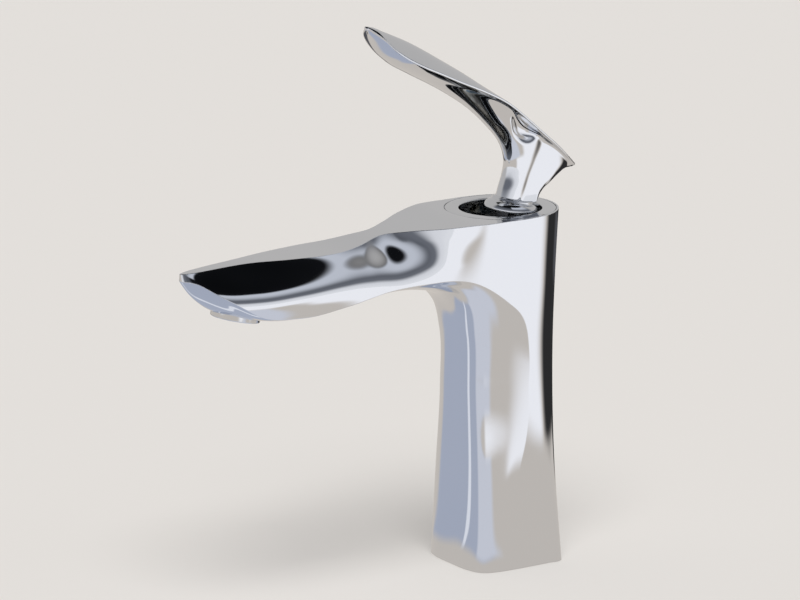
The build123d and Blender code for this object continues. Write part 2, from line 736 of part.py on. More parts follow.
def screw_plug():
    start = spindle_pin_radius + socket_fit + screw_length
    return lever_frame * rearward(plug_length, start, Cylinder(screw_radius, plug_length))


def collar_form(hollow):
    """The skirt's outer form, less its bell-shaped hollow if one is asked for."""
    bottom = foot_top - collar_height
    waist = foot_radius + collar_wall
    lip = (collar_radius, bottom + collar_wall / 2)
    neck_line = (waist, foot_top - collar_wall)
    swell = (collar_radius - collar_wall / 2, (lip[1] + neck_line[1]) / 2)
    outside = Polyline((waist, foot_top), (foot_radius, foot_top), (foot_radius, bottom),
                       (collar_radius, bottom), lip)
    outside += ThreePointArc(lip, swell, neck_line)
    outside += Line(neck_line, (waist, foot_top))
    form = revolve(Plane.XZ * make_face(outside), Axis.Z)
    if hollow:
        inside = Polyline((foot_radius, bottom), (collar_radius - collar_wall, bottom),
                          (foot_radius, foot_top - collar_wall - collar_wall), close=True)
        form -= revolve(Plane.XZ * make_face(inside), Axis.Z)
    return form


def lever_collar():
    """The skirt at the lever's foot, a thin turned bell."""
    return lever_frame * collar_form(1)


def aerator_housing():
    inner = aerator_radius - aerator_wall
    shell = tube(aerator_radius, inner, 0, aerator_proud + aerator_height)
    return outlet_frame * (shell + tube(aerator_radius, inner - aerator_ledge, 0, aerator_ledge))


def aerator_mesh():
    """The flow straightener that shows inside the rim: a thin disc of six-sided cells."""
    radius = aerator_radius - aerator_wall - thread_fit
    disc = rod(radius, aerator_ledge, aerator_ledge + mesh_thickness)
    cell = Pos(0, 0, aerator_ledge) * extrude(RegularPolygon(mesh_cell_radius, 6), mesh_thickness)
    disc -= HexLocations(mesh_pitch / sqrt(3), mesh_count, mesh_count) * cell
    return outlet_frame * disc


def aerator_insert():
    bottom, top = aerator_ledge + mesh_thickness, aerator_proud + aerator_height
    core = rod(aerator_radius - aerator_wall - thread_fit, bottom, top)
    core -= rod(aerator_radius / 2, bottom, (bottom + top) / 2)
    return outlet_frame * (core - rod(aerator_radius / 4, bottom, top))


def aerator_gasket():
    bottom = aerator_proud + aerator_height
    inner = aerator_radius - 2 * aerator_wall
    return outlet_frame * tube(aerator_radius, inner, bottom, bottom + gasket_thickness)


def base_seal():
    return seal_ring(base_seal_thickness)


def mounting_stud():
    return rod(stud_radius, stud_grip - stud_length, stud_grip, y=-stud_front)


def horseshoe(bottom, thickness):
    """A plate round the stud, open to the back so that it slips past the hoses."""
    top = bottom + thickness
    plate = rod(clamp_radius, bottom, top)
    plate -= block(-clamp_slot_half, clamp_slot_half, -clamp_slot_front, overrun, bottom, top)
    return plate - rod(stud_radius + thread_fit, bottom, top, y=-stud_front)


clamp_top = -deck_thickness
clamp_middle = clamp_top - clamp_rubber_thickness
clamp_bottom = clamp_middle - clamp_plate_thickness


def clamp_rubber():
    return horseshoe(clamp_middle, clamp_rubber_thickness)


def clamp_plate():
    return horseshoe(clamp_bottom, clamp_plate_thickness)


def clamp_nut():
    hexagon = RegularPolygon(clamp_nut_flats / 2, 6, major_radius=False)
    nut = at(extrude(hexagon, clamp_nut_height), 0, -stud_front, clamp_bottom - clamp_nut_height)
    return nut - rod(stud_radius, clamp_bottom - clamp_nut_height, clamp_bottom, y=-stud_front)


pieces = (body, cover_ring, cartridge_nut, cartridge_housing, housing_o_ring, cartridge_base,
          inlet_seals, outlet_seal, fixed_disc, moving_disc, disc_holder, cartridge_carrier, pivot_pin,
          spindle, lever, lever_collar, lever_screw, screw_plug, aerator_housing, aerator_mesh,
          aerator_insert, aerator_gasket, base_seal, mounting_stud, clamp_rubber, clamp_plate, clamp_nut)
for piece in pieces:
    made = piece()
    export_step(made, f"parts/{piece.__name__}.step")
    print(piece.__name__, round(made.volume, 1), made.is_valid)
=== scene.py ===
"""Looks of the single-lever basin mixer: chrome-plated casting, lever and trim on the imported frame."""
from math import cos, sin, radians, pi, sqrt

import bmesh
import bpy
import numpy as np
from mathutils import Matrix, Vector
from mathutils.bvhtree import BVHTree


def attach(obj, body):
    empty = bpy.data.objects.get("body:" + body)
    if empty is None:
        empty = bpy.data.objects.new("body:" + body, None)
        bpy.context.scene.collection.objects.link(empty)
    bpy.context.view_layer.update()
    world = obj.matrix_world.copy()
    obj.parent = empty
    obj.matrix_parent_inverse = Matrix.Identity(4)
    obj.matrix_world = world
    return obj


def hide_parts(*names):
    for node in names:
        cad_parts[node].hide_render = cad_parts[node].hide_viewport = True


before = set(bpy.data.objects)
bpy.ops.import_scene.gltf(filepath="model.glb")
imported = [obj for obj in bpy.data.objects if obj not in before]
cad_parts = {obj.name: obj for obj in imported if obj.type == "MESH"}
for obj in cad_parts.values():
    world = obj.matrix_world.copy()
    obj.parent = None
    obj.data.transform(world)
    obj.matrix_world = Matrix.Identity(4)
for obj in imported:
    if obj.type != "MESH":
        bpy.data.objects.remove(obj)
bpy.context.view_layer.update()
scene = bpy.context.scene

# Chrome. Every outer piece of the real tap is brass or zinc, ground, buffed and chrome-plated, which
# leaves a clear mirror with a faint cool cast. All lengths in this file are in metres.
edge_round = 0.0004  # buffing rounds every edge this much
haze_size = 1 / 60  # 17 mm patches that the buffing wheel left less clear
peel_size = 1 / 260  # 4 mm waves of the plate's orange peel


def srgb(code, strength=1.0):
    """A hex colour as Blender's linear RGBA, made weaker or stronger."""
    parts = [int(code[i:i + 2], 16) / 255 for i in (1, 3, 5)]
    light = [c / 12.92 if c <= 0.04045 else ((c + 0.055) / 1.055) ** 2.4 for c in parts]
    return tuple(strength * c for c in light) + (1.0,)


def node(tree, kind, inputs=None, **settings):
    """Adds a node with its settings. An input gets a value, or a link from a socket or a node's first one."""
    made = tree.nodes.new(kind)
    for name, value in settings.items():
        setattr(made, name, value)
    for socket, value in (inputs or {}).items():
        value = value.outputs[0] if isinstance(value, bpy.types.Node) else value
        if isinstance(value, bpy.types.NodeSocket):
            tree.links.new(value, made.inputs[socket])
        else:
            made.inputs[socket].default_value = value
    return made


def new_material(name, **inputs):
    """A material with a Principled shader, and the object coordinates that its textures use."""
    material = bpy.data.materials.new(name)
    material.use_nodes = True
    tree = material.node_tree
    shader = next(n for n in tree.nodes if n.type == "BSDF_PRINCIPLED")
    for label, value in inputs.items():
        shader.inputs[label.replace("_", " ")].default_value = value
    return material, tree, shader, node(tree, "ShaderNodeTexCoord").outputs["Object"]


def chrome(name, colour, roughness, haze, ripple):
    """Electroplated chrome on a buffed piece. The plate is a mirror; the wheel's haze makes patches of it
    softer, the ripple of a few microns bends what it shows, and the rounded edges catch thin lines."""
    material, tree, shader, place = new_material(
        name, Metallic=1.0, Roughness=roughness, Base_Color=srgb(colour))
    patches = node(tree, "ShaderNodeTexNoise", {"Vector": place, "Scale": 1 / haze_size, "Detail": 4.0})
    clearness = node(tree, "ShaderNodeMapRange", {
        "Value": patches.outputs["Fac"], "From Min": 0.35, "From Max": 0.65,
        "To Min": roughness, "To Max": roughness + haze})
    tree.links.new(clearness.outputs["Result"], shader.inputs["Roughness"])
    peel = node(tree, "ShaderNodeTexNoise", {"Vector": place, "Scale": 1 / peel_size, "Detail": 1.0})
    buffed = node(tree, "ShaderNodeBevel", {"Radius": edge_round}, samples=6)
    bump = node(tree, "ShaderNodeBump", {
        "Height": peel.outputs["Fac"], "Normal": buffed, "Distance": ripple, "Strength": 0.5})
    tree.links.new(bump.outputs["Normal"], shader.inputs["Normal"])
    return material


# The castings get the heaviest buffing; the turned trim stays a touch softer.
plate = chrome("chrome_plate", "#e3e5e8", roughness=0.03, haze=0.025, ripple=0.000004)
trim_plate = chrome("chrome_plate_trim", "#dfe1e4", roughness=0.045, haze=0.03, ripple=0.000003)

# Body casting. One brass casting, chrome-plated: a round head over a waisted column, and a spout that
# leaves it as a neck and spreads into a leaf with thin, upturned edges. It is machined only inside and
# underneath. Here the surfaces of the belly and of the top cut a flank.
body_height = 0.136
head_radius = 0.022
spout_reach = 0.14
base_half = 0.0206
waist_half = 0.0188
base_rear = 0.0194
column_front = 0.0226
blade_half = 0.0182
neck_half = 0.0168
top_drop = 0.0059  # how far the top face falls to the blade
spout_under = 0.0277  # the top down to the spout's underside
neck_under = 0.0257  # the top down to the underside of the neck
arch_radius = 0.02
grid_step = 0.001  # between the mesh lines of the smooth skins
sharp_angle = 20  # degrees, where a smooth skin ends in an edge


def through(keys, values, at):
    """A smooth curve through the values at the keys, at many places."""
    keys, values, at = np.asarray(keys, float), np.asarray(values, float), np.asarray(at, float)
    wide = (-1,) + (1,) * (values.ndim - 1)
    span = np.diff(keys)
    rise = np.diff(values, axis=0) / span.reshape(wide)
    before, after = span[:-1].reshape(wide), span[1:].reshape(wide)
    slope = np.concatenate([rise[:1], (rise[:-1] * after + rise[1:] * before) / (before + after), rise[-1:]])
    here = np.clip(np.searchsorted(keys, at, side="right") - 1, 0, len(keys) - 2)
    t = ((at - keys[here]) / span[here]).reshape(wide)
    width = span[here].reshape(wide)
    return ((2 * t**3 - 3 * t**2 + 1) * values[here] + (t**3 - 2 * t**2 + t) * width * slope[here]
            + (3 * t**2 - 2 * t**3) * values[here + 1] + (t**3 - t**2) * width * slope[here + 1])


def running_length(points):
    """How far along a line each of its points lies."""
    steps = np.linalg.norm(np.diff(np.asarray(points, float), axis=0), axis=1)
    return np.concatenate([[0.0], np.cumsum(steps)])


def mesh_object(name, points, faces, material, sharp=None):
    """A mesh object with outward faces, smooth apart from its sharp edges."""
    mesh = bpy.data.meshes.new(name)
    mesh.from_pydata([tuple(p) for p in points], [], faces)
    form = bmesh.new()
    form.from_mesh(mesh)
    bmesh.ops.remove_doubles(form, verts=form.verts, dist=0.000001)
    bmesh.ops.recalc_face_normals(form, faces=form.faces)
    form.to_mesh(mesh)
    form.free()
    mesh.shade_smooth()
    if sharp is not None:
        mesh.set_sharp_from_angle(angle=radians(sharp))
    mesh.materials.append(material)
    made = bpy.data.objects.new(name, mesh)
    scene.collection.objects.link(made)
    return made


def grid_faces(rows, columns, start=0):
    """Quads of a grid of points that is stored row by row."""
    corners = [start + i * columns + j for i in range(rows - 1) for j in range(columns - 1)]
    return [(c, c + 1, c + columns + 1, c + columns) for c in corners]


# The flank: the right-hand outline at seven levels. Places are shares of the spout's reach or of the
# level's rear; widths are shares of the level's girth, the neck's half or the blade's half.
head_stations = (0.0, 0.07, 0.155, 0.25)
neck_stations = (0.335, 0.4, 0.48)
blade_stations = (0.57, 0.7, 0.82, 0.915, 0.97)
rear_stations = (0.82, 0.45)
level_heights = body_height * np.array([-0.03, 0.33, 0.625, 0.794, 0.89, 0.963, 1.015])
level_girths = (base_half, waist_half, waist_half, head_radius, head_radius, head_radius, head_radius)
level_rears = (base_rear,) + tuple(head_radius * r for r in (0.891, 0.936, 0.955, 0.973, 0.991, 1.005))
rear_widths = ((0.96, 1.0), (0.7, 0.94), (0.58, 0.88)) + 4 * ((0.57, 0.89),)
head_widths = (
    (1.0, 1.0, 0.99, 0.94), (1.0, 1.005, 1.005, 0.973), (0.995, 1.01, 1.01, 0.973),
    (0.918, 0.905, 0.877, 0.832), (0.955, 0.95, 0.923, 0.827), (0.986, 0.986, 0.968, 0.785),
    (1.005, 1.005, 0.986, 0.74))
neck_widths = (
    (1.048, 1.012, 1.012), (1.024, 1.0, 1.012), (1.024, 1.0, 1.012), (1.024, 0.994, 1.012),
    (0.952, 0.893, 0.952), (0.63, 0.39, 0.49), (0.49, 0.18, 0.31))
blade_widths = 4 * ((0.978, 1.0, 0.923, 0.714, 0.44),) + (
    (0.962, 0.989, 0.879, 0.687, 0.418), (0.53, 0.4, 0.18, 0.09, 0.05),
    (0.35, 0.24, 0.08, 0.04, 0.025))
spacing_level = 4  # the level whose outline spaces the flank's lines
rim_height = 0.84 * body_height
flank_top = 1.012 * body_height
below_rim_step = 1.4 * grid_step
above_rim_step = 0.4 * grid_step


def level_outline(level):
    """The casting's right-hand outline at one level, from just past the back to just past the tip."""
    girth, rear = level_girths[level], level_rears[level]
    half = [girth * w for w in head_widths[level]] + [neck_half * w for w in neck_widths[level]]
    half += [blade_half * w for w in blade_widths[level]]
    reach = [spout_reach * s for s in head_stations + neck_stations + blade_stations]
    behind = [(half[0] * w, rear * s) for w, s in zip(rear_widths[level], rear_stations)]
    points = [(-behind[0][0], behind[0][1]), (0.0, rear)] + behind
    points += [(w, -s) for w, s in zip(half, reach)]
    return points + [(0.0, -spout_reach), (-half[-1], -reach[-1])]


level_outlines = np.array([level_outline(level) for level in range(len(level_heights))])
flank_keys = running_length(level_outlines[spacing_level])
flank_run = flank_keys[-2] - flank_keys[1]
flank_around = np.linspace(flank_keys[1], flank_keys[-2], int(flank_run / grid_step))
flank_heights = np.concatenate([
    np.arange(0.0, rim_height, below_rim_step), np.arange(rim_height, flank_top, above_rim_step)])
at_heights = through(level_heights, level_outlines, flank_heights)
flank = through(flank_keys, at_heights.transpose(1, 0, 2), flank_around)
flank[[0, -1], :, 0] = 0.0
side = np.dstack([flank, np.broadcast_to(flank_heights, flank.shape[:2])])
rows, columns = side.shape[:2]
both_sides = np.concatenate([side.reshape(-1, 3), (side * (-1, 1, 1)).reshape(-1, 3)])
other = rows * columns
open_flank = (both_sides, grid_faces(rows, columns) + grid_faces(rows, columns, other))
closed_faces = grid_faces(rows, columns) + [f[::-1] for f in grid_faces(rows, columns, other)]
for i in range(rows - 1):
    for level in (0, columns - 1):
        a, b = i * columns + level, (i + 1) * columns + level
        closed_faces.append((a, b, b + other, a + other))

# The belly: the column's front, the arch and the spout's underside. A row has its place (height and front,
# degrees round the arch, or reach and depth), five half widths across it, and how far back each lies.
arch_y = -(0.955 * column_front + arch_radius)
arch_z = body_height - neck_under - arch_radius
column_rows = (
    (-0.06, 1.0, (0.5, 0.862, 0.983, 1.015, 1.188), (0.012, 0.14, 0.48, 0.99, 2.77)),
    (0.257, 0.95, (0.5, 0.846, 0.984, 1.037, 1.223), (0.016, 0.176, 0.585, 1.144, 2.98)),
    (0.5, 0.925, (0.436, 0.734, 0.872, 0.989, 1.17), (0.016, 0.181, 0.585, 1.277, 2.98)))
arch_rows = (
    (0, (0.436, 0.734, 0.883, 1.016, 1.277), (0.021, 0.191, 0.585, 1.17, 2.34)),
    (30, (0.447, 0.755, 0.92, 1.064, 1.383), (0.027, 0.17, 0.43, 0.74, 1.6)),
    (60, (0.457, 0.766, 0.92, 1.064, 1.436), (0.037, 0.15, 0.31, 0.48, 0.96)),
    (90, (0.457, 0.745, 0.88, 1.0, 1.383), (0.048, 0.14, 0.232, 0.33, 0.7)))
spout_rows = (
    (0.4, 0.877, (0.473, 0.769, 0.907, 1.071, 1.429), (0.038, 0.11, 0.172, 0.265, 0.54)),
    (0.56, 0.953, (0.473, 0.769, 0.934, 1.099, 1.429), (0.028, 0.078, 0.115, 0.17, 0.35)),
    (0.711, 1.0, (0.473, 0.769, 0.934, 1.126, 1.429), (0.022, 0.055, 0.088, 0.165, 0.4)),
    (0.835, 0.962, (0.44, 0.7, 0.879, 1.071, 1.429), (0.045, 0.112, 0.176, 0.32, 0.66)),
    (0.925, 0.77, (0.33, 0.55, 0.714, 0.934, 1.374), (0.092, 0.25, 0.41, 0.68, 1.25)),
    (0.965, 0.6, (0.14, 0.262, 0.377, 0.549, 1.374), (0.066, 0.225, 0.45, 0.78, 1.8)),
    (1.024, 0.18, (0.099, 0.198, 0.33, 0.549, 1.374), (0.06, 0.23, 0.48, 0.85, 1.9)))
belly_rows = [
    (-front * column_front, height * body_height, 0, base_half if height < 0 else waist_half, w, d)
    for height, front, w, d in column_rows]
belly_rows += [
    (arch_y + arch_radius * cos(radians(t)), arch_z + arch_radius * sin(radians(t)), t, waist_half, w, d)
    for t, w, d in arch_rows]
belly_rows += [
    (-reach * spout_reach, body_height - depth * spout_under, 90, blade_half, w, d)
    for reach, depth, w, d in spout_rows]
belly_keys = running_length([row[:2] for row in belly_rows])
across_keys = (-1, 0, 1, 2, 3, 4, 5)
belly_columns = 101


def from_the_middle(numbers, half, sign):
    """The numbers across one side, after a mirrored one and the middle, so that the curve is even there."""
    return [sign * half * numbers[0], 0.0] + [half * n for n in numbers]


along = np.linspace(0, belly_keys[-1], int(belly_keys[-1] / grid_step))
across = np.linspace(-across_keys[-1], across_keys[-1], belly_columns)
line = through(belly_keys, [row[:3] for row in belly_rows], along)
widths = through(belly_keys, [from_the_middle(row[4], row[3], -1) for row in belly_rows], along)
depths = through(belly_keys, [from_the_middle(row[5], row[3], 1) for row in belly_rows], along)
belly_x = through(across_keys, widths.T, abs(across)) * np.where(across < 0, -1, 1)[:, None]
belly_depth = through(across_keys, depths.T, abs(across))
turn = np.radians(line[:, 2])
belly = np.dstack([belly_x, line[:, 0] + belly_depth * np.cos(turn), line[:, 1] + belly_depth * np.sin(turn)])
rows, columns = belly.shape[:2]
open_belly = (belly.reshape(-1, 3), grid_faces(rows, columns))

# It becomes a cutter with one far corner below and in front of the tap.
far_corner = (0, -1.6, -1.4)
corner = rows * columns
rim = list(range(columns)) + [i * columns + columns - 1 for i in range(1, rows)]
rim += [(rows - 1) * columns + j for j in range(columns - 2, -1, -1)]
rim += [i * columns for i in range(rows - 2, 0, -1)]
cutter_faces = open_belly[1] + [(b, a, corner) for a, b in zip(rim, rim[1:] + rim[:1])]
belly_cutter = mesh_object("belly_cutter", np.vstack([open_belly[0], [far_corner]]), cutter_faces, plate)


def prism(outline, bottom, top, where=Matrix.Identity(4)):
    """An upright prism on an outline of (x, y), between two heights, placed in a frame."""
    count = len(outline)
    points = [where @ Vector((x, y, z)) for z in (bottom, top) for x, y in outline]
    faces = [(i, (i + 1) % count, (i + 1) % count + count, i + count) for i in range(count)]
    faces += [tuple(range(count))[::-1], tuple(range(count, 2 * count))]
    return mesh_object("prism", points, faces, plate)


def rod(radius, bottom, top, x=0.0, y=0.0, where=Matrix.Identity(4), sides=96):
    """An upright cylinder between two heights."""
    angles = [2 * pi * i / sides for i in range(sides)]
    return prism([(x + radius * cos(a), y + radius * sin(a)) for a in angles], bottom, top, where)


def post(half, front, rear, corner, bottom, top, sides=8):
    """An upright post with rounded corners, between two places along Y."""
    middle, reach = (front + rear) / 2, (rear - front) / 2
    outline = []
    for k, (sx, sy) in enumerate(((1, 1), (-1, 1), (-1, -1), (1, -1))):
        outline += [(sx * (half - corner) + corner * cos(a), middle + sy * (reach - corner) + corner * sin(a))
                    for a in np.radians(np.linspace(90 * k, 90 * k + 90, sides + 1))]
    return prism(outline, bottom, top)


def cut(target, cutters):
    """Takes the cutters out of the target, applies it and removes them."""
    for cutter in cutters:
        step = target.modifiers.new("cut", "BOOLEAN")
        step.operation, step.solver, step.object = "DIFFERENCE", "MANIFOLD", cutter
        with bpy.context.temp_override(object=target, active_object=target):
            bpy.ops.object.modifier_apply(modifier=step.name)
        bpy.data.objects.remove(cutter)


# The top face: flat round the cartridge, then falling to the blade, in shares of the reach and the drop
flat_share = 0.167
top_line = np.array((
    (flat_share - 0.05, 0.0), (flat_share, 0.0), (0.25, 0.13), (0.336, 0.28), (0.4, 0.43), (0.436, 0.56),
    (0.479, 0.75), (0.536, 0.92), (0.6, 0.98), (0.7, 1.0), (0.8, 1.01), (0.87, 1.08), (0.943, 1.19),
    (1.01, 1.29), (1.18, 1.6)))
cutter_rear, cutter_top, cutter_half = 0.06, 0.2, 0.05
lying_along_x = Matrix(((0, 0, 1, 0), (1, 0, 0, 0), (0, 1, 0, 0), (0, 0, 0, 1)))
top_y = np.linspace(flat_share, top_line[-1, 0], 150)
top_z = body_height - top_drop * through(top_line[:, 0], top_line[:, 1], top_y)
profile = [(cutter_rear, body_height)] + list(zip(-top_y * spout_reach, top_z))
profile += [(-top_line[-1, 0] * spout_reach, cutter_top), (cutter_rear, cutter_top)]
top_cutter = prism(profile, -cutter_half, cutter_half, lying_along_x)

# Machined into the head: the ring's seat, the bore beside the nut and the cartridge's chamber; and into
# the spout the aerator's socket, which leans forward
above = 0.15  # clear of the head, where its cutters end
seat_radius = 0.0213
seat_depth = 0.0017
neck_bore = 0.019
shoulder_z = 0.121
chamber_radius = 0.0176
chamber_floor = 0.096
chamber_top = 0.13
outlet_y, outlet_z, outlet_lean = -0.11676, 0.108815, 12
outlet = Matrix.Translation((0, outlet_y, outlet_z)) @ Matrix.Rotation(radians(-outlet_lean), 4, "X")
socket_radius = 0.0093
socket_depth = 0.0111
below_outlet = -0.02
body = mesh_object("body_casting", both_sides, closed_faces, plate)
cut(body, [belly_cutter, top_cutter])
cut(body, [rod(seat_radius, body_height - seat_depth, above, sides=160), rod(neck_bore, shoulder_z, above),
           rod(chamber_radius, chamber_floor, chamber_top)])
cut(body, [rod(socket_radius, below_outlet, socket_depth, where=outlet, sides=128)])

# Underneath: the hollow for the two hoses, their threaded holes and ports, the stud's hole, and the
# groove of the foot seal
below = -0.01  # clear of the foot, where its cutters start
hollow_half, hollow_front, hollow_rear, hollow_corner, hollow_top = 0.0135, -0.0045, 0.013, 0.007, 0.084
hose_x, hose_y, hose_radius, thread_length, port_radius = 0.0065, 0.0045, 0.005, 0.009, 0.0022
hole_overlap = 0.001  # how far a hole reaches into the hollow or chamber that it opens into
stud_y, stud_radius, stud_top = -0.0115, 0.0041, 0.022
seal_half, seal_width, seal_corner, seal_depth = 0.0173, 0.0026, 0.008, 0.002
seal_y = (base_rear - column_front) / 2
cut(body, [post(hollow_half, hollow_front, hollow_rear, hollow_corner, below, hollow_top),
           rod(stud_radius, below, stud_top, y=stud_y)])
sides = (hose_x, -hose_x)
cut(body, [rod(hose_radius, hollow_top - hole_overlap, hollow_top + thread_length, x, hose_y) for x in sides])
cut(body, [rod(port_radius, hollow_top, chamber_floor + hole_overlap, x, hose_y) for x in sides])
core = seal_half - seal_width
groove = post(seal_half, seal_y - seal_half, seal_y + seal_half, seal_corner, below, seal_depth)
cut(groove, [post(core, seal_y - core, seal_y + core, seal_corner - seal_width, 2 * below, -below)])
cut(body, [groove])


def finish_cut(piece, angle):
    """Cleans the mesh after cutting and marks its edges."""
    form = bmesh.new()
    form.from_mesh(piece.data)
    bmesh.ops.remove_doubles(form, verts=form.verts, dist=0.000008)
    bmesh.ops.dissolve_degenerate(form, edges=form.edges, dist=0.000004)
    form.to_mesh(piece.data)
    form.free()
    piece.data.shade_smooth()
    piece.data.set_sharp_from_angle(angle=radians(angle))


def shade_like(piece, skins, near=0.00006, alike=0.9):
    """Gives the cut casting the true normals of the skins it was cut from, so their meeting is crisp."""
    known = []
    for points, faces in skins:
        skin = mesh_object("skin", points, faces, plate)
        skin.data.calc_loop_triangles()
        corners = [t.vertices[:] for t in skin.data.loop_triangles]
        places = [v.co.copy() for v in skin.data.vertices]
        smooth = [v.normal.copy() for v in skin.data.vertices]
        known.append((BVHTree.FromPolygons(places, corners), corners, places, smooth))
        bpy.data.objects.remove(skin)
    normals = [v.vector.copy() for v in piece.data.corner_normals]
    for face in piece.data.polygons:
        found = [(abs(facing.dot(face.normal)), k) for k, (tree, *_) in enumerate(known)
                 for _, facing, _, far in [tree.find_nearest(face.center)] if far < near]
        if not found or max(found)[0] < alike:
            continue
        tree, corners, places, smooth = known[max(found)[1]]
        for loop in face.loop_indices:
            at, _, index, _ = tree.find_nearest(piece.data.vertices[piece.data.loops[loop].vertex_index].co)
            a, b, c = (places[i] for i in corners[index])
            parts = [(b - at).cross(c - at).length, (c - at).cross(a - at).length,
                     (a - at).cross(b - at).length]
            normal = sum((part * smooth[i] for part, i in zip(parts, corners[index])), Vector()).normalized()
            normals[loop] = normal if normal.dot(face.normal) > 0 else -normal
    piece.data.normals_split_custom_set(normals)


finish_cut(body, sharp_angle)
shade_like(body, (open_flank, open_belly))
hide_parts("body")
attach(body, "tap")

# Cartridge. A 35 mm cartridge stands in the head: a moulded housing and base with black seals, two ground
# ceramic discs, a moulded holder and carrier, and a steel spindle on its pin. A nickel-plated brass nut
# holds it down.
mould_clouds = 1 / 90  # 11 mm clouds in a moulding's colour
bar_clouds = 1 / 140  # 7 mm stains on bare or thinly plated metal


def moulded(name, colour, roughness, grain=0.0005, height=0.00002):
    """A moulded or ground piece: an even colour with faint clouds, its shine softened by a fine grain."""
    material, tree, shader, place = new_material(name, Roughness=roughness)
    clouds = node(tree, "ShaderNodeTexNoise", {"Vector": place, "Scale": 1 / mould_clouds, "Detail": 2.0})
    tint = node(tree, "ShaderNodeMix", {0: clouds.outputs["Fac"], 6: srgb(colour, 0.93), 7: srgb(colour)},
                data_type="RGBA")
    tree.links.new(tint.outputs[2], shader.inputs["Base Color"])
    pits = node(tree, "ShaderNodeTexNoise", {"Vector": place, "Scale": 1 / grain, "Detail": 3.0})
    bump = node(tree, "ShaderNodeBump", {"Height": pits.outputs["Fac"], "Distance": height, "Strength": 0.6})
    tree.links.new(bump.outputs["Normal"], shader.inputs["Normal"])
    return material


def machined(name, colour, roughness, pitch=0.0004, height=0.00002):
    """Turned metal: rings from the tool show as fine lines round the axis and a broken shine."""
    material, tree, shader, place = new_material(name, Metallic=1.0, Roughness=roughness)
    rings = node(tree, "ShaderNodeTexWave", {
        "Vector": place, "Scale": 1 / pitch / (2 * pi), "Distortion": 0.4, "Detail": 1.0},
        wave_type="RINGS", rings_direction="Z")
    stains = node(tree, "ShaderNodeTexNoise", {"Vector": place, "Scale": 1 / bar_clouds, "Detail": 3.0})
    tint = node(tree, "ShaderNodeMix", {0: stains.outputs["Fac"], 6: srgb(colour, 0.78), 7: srgb(colour)},
                data_type="RGBA")
    tree.links.new(tint.outputs[2], shader.inputs["Base Color"])
    shine = node(tree, "ShaderNodeMapRange", {
        "Value": stains.outputs["Fac"], "To Min": roughness - 0.06, "To Max": roughness + 0.1})
    tree.links.new(shine.outputs["Result"], shader.inputs["Roughness"])
    bump = node(tree, "ShaderNodeBump", {"Height": rings.outputs["Fac"], "Distance": height, "Strength": 0.5})
    tree.links.new(bump.outputs["Normal"], shader.inputs["Normal"])
    return material


def dress(material, *names):
    """Gives CAD pieces whose shape is right their material."""
    for name in names:
        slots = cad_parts[name].data.materials
        slots.clear()
        slots.append(material)


# Natural acetal, injection-moulded in an eroded tool: milky white, satin
housing_plastic = moulded("acetal_housing", "#dcdbd6", roughness=0.42)
# The same coloured through: dull blue, satin
holder_plastic = moulded("acetal_holder", "#8fa3b5", roughness=0.4)
# Brass, turned and left bare: yellow, its shine broken by the tool's rings
brass = machined("turned_brass", "#c9a45c", roughness=0.28)
# The same under a thin nickel plate: warm grey, a little brighter
nickel = machined("nickel_plated_brass", "#b9b6ae", roughness=0.22)
# Steel, turned or pressed, not polished: neutral grey, a wide soft shine
steel = machined("turned_steel", "#9d9fa3", roughness=0.3)
# Black rubber, pressed in a blasted mould: nearly black, matt, a coarse grain
rubber = moulded("black_rubber", "#1b1b1c", roughness=0.62, grain=0.0008, height=0.00003)
# Alumina, sintered and lapped: ivory white, almost glassy
ceramic = moulded("ground_alumina", "#efebe2", roughness=0.18, grain=0.0003, height=0.000004)
dress(housing_plastic, "cartridge_housing", "cartridge_base")
dress(holder_plastic, "disc_holder", "cartridge_carrier")
dress(nickel, "cartridge_nut")
dress(steel, "spindle", "pivot_pin", "lever_screw")
dress(rubber, "housing_o_ring", "inlet_seals", "outlet_seal")
dress(ceramic, "fixed_disc", "moving_disc")

# Cover ring. A turned brass ring, chrome-plated, pushed into the head over the nut. Its flat lies flush
# with the head, so only a hairline shows round it, and its skirt reaches down beside the nut.
ring_radius = 0.021
ring_hole = 0.01575
ring_thickness = 0.0017
ring_skirt = 0.01892
ring_skirt_wall = 0.0014
ring_skirt_length = 0.0055
ring_hole_round = 0.0004
ring_rim_round = 0.00022


def softened(corners, samples=5):
    """A closed outline of (radius, height, rounding) with its corners rounded."""
    outline = []
    count = len(corners)
    for i, (r, z, rounding) in enumerate(corners):
        here = np.array((r, z))
        if not rounding:
            outline.append(here)
            continue
        before = np.array(corners[i - 1][:2]) - here
        after = np.array(corners[(i + 1) % count][:2]) - here
        start = here + before * rounding / np.linalg.norm(before)
        end = here + after * rounding / np.linalg.norm(after)
        for t in np.linspace(0, 1, samples):
            outline.append((1 - t) ** 2 * start + 2 * t * (1 - t) * here + t ** 2 * end)
    return outline


def turned(name, outline, material, where=Matrix.Identity(4), sides=144, sharp=40):
    """A ring with this outline, turned about the Z axis of a frame."""
    count = len(outline)
    points = [where @ Vector((r * cos(2 * pi * i / sides), r * sin(2 * pi * i / sides), z))
              for i in range(sides) for r, z in outline]
    faces = [(i * count + j, i * count + (j + 1) % count, (i + 1) % sides * count + (j + 1) % count,
              (i + 1) % sides * count + j) for i in range(sides) for j in range(count)]
    return mesh_object(name, points, faces, material, sharp)


seat_z = body_height - ring_thickness
skirt_inner, skirt_end = ring_skirt - ring_skirt_wall, seat_z - ring_skirt_length
ring = turned("cover_ring_turned", softened((
    (ring_hole, body_height, ring_hole_round), (ring_hole, seat_z, 0.0001), (skirt_inner, seat_z, 0),
    (skirt_inner, skirt_end, 0.0002), (ring_skirt, skirt_end, 0.0002), (ring_skirt, seat_z, 0),
    (ring_radius, seat_z, 0.0001), (ring_radius, body_height, ring_rim_round))), trim_plate)
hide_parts("cover_ring")
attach(ring, "tap")

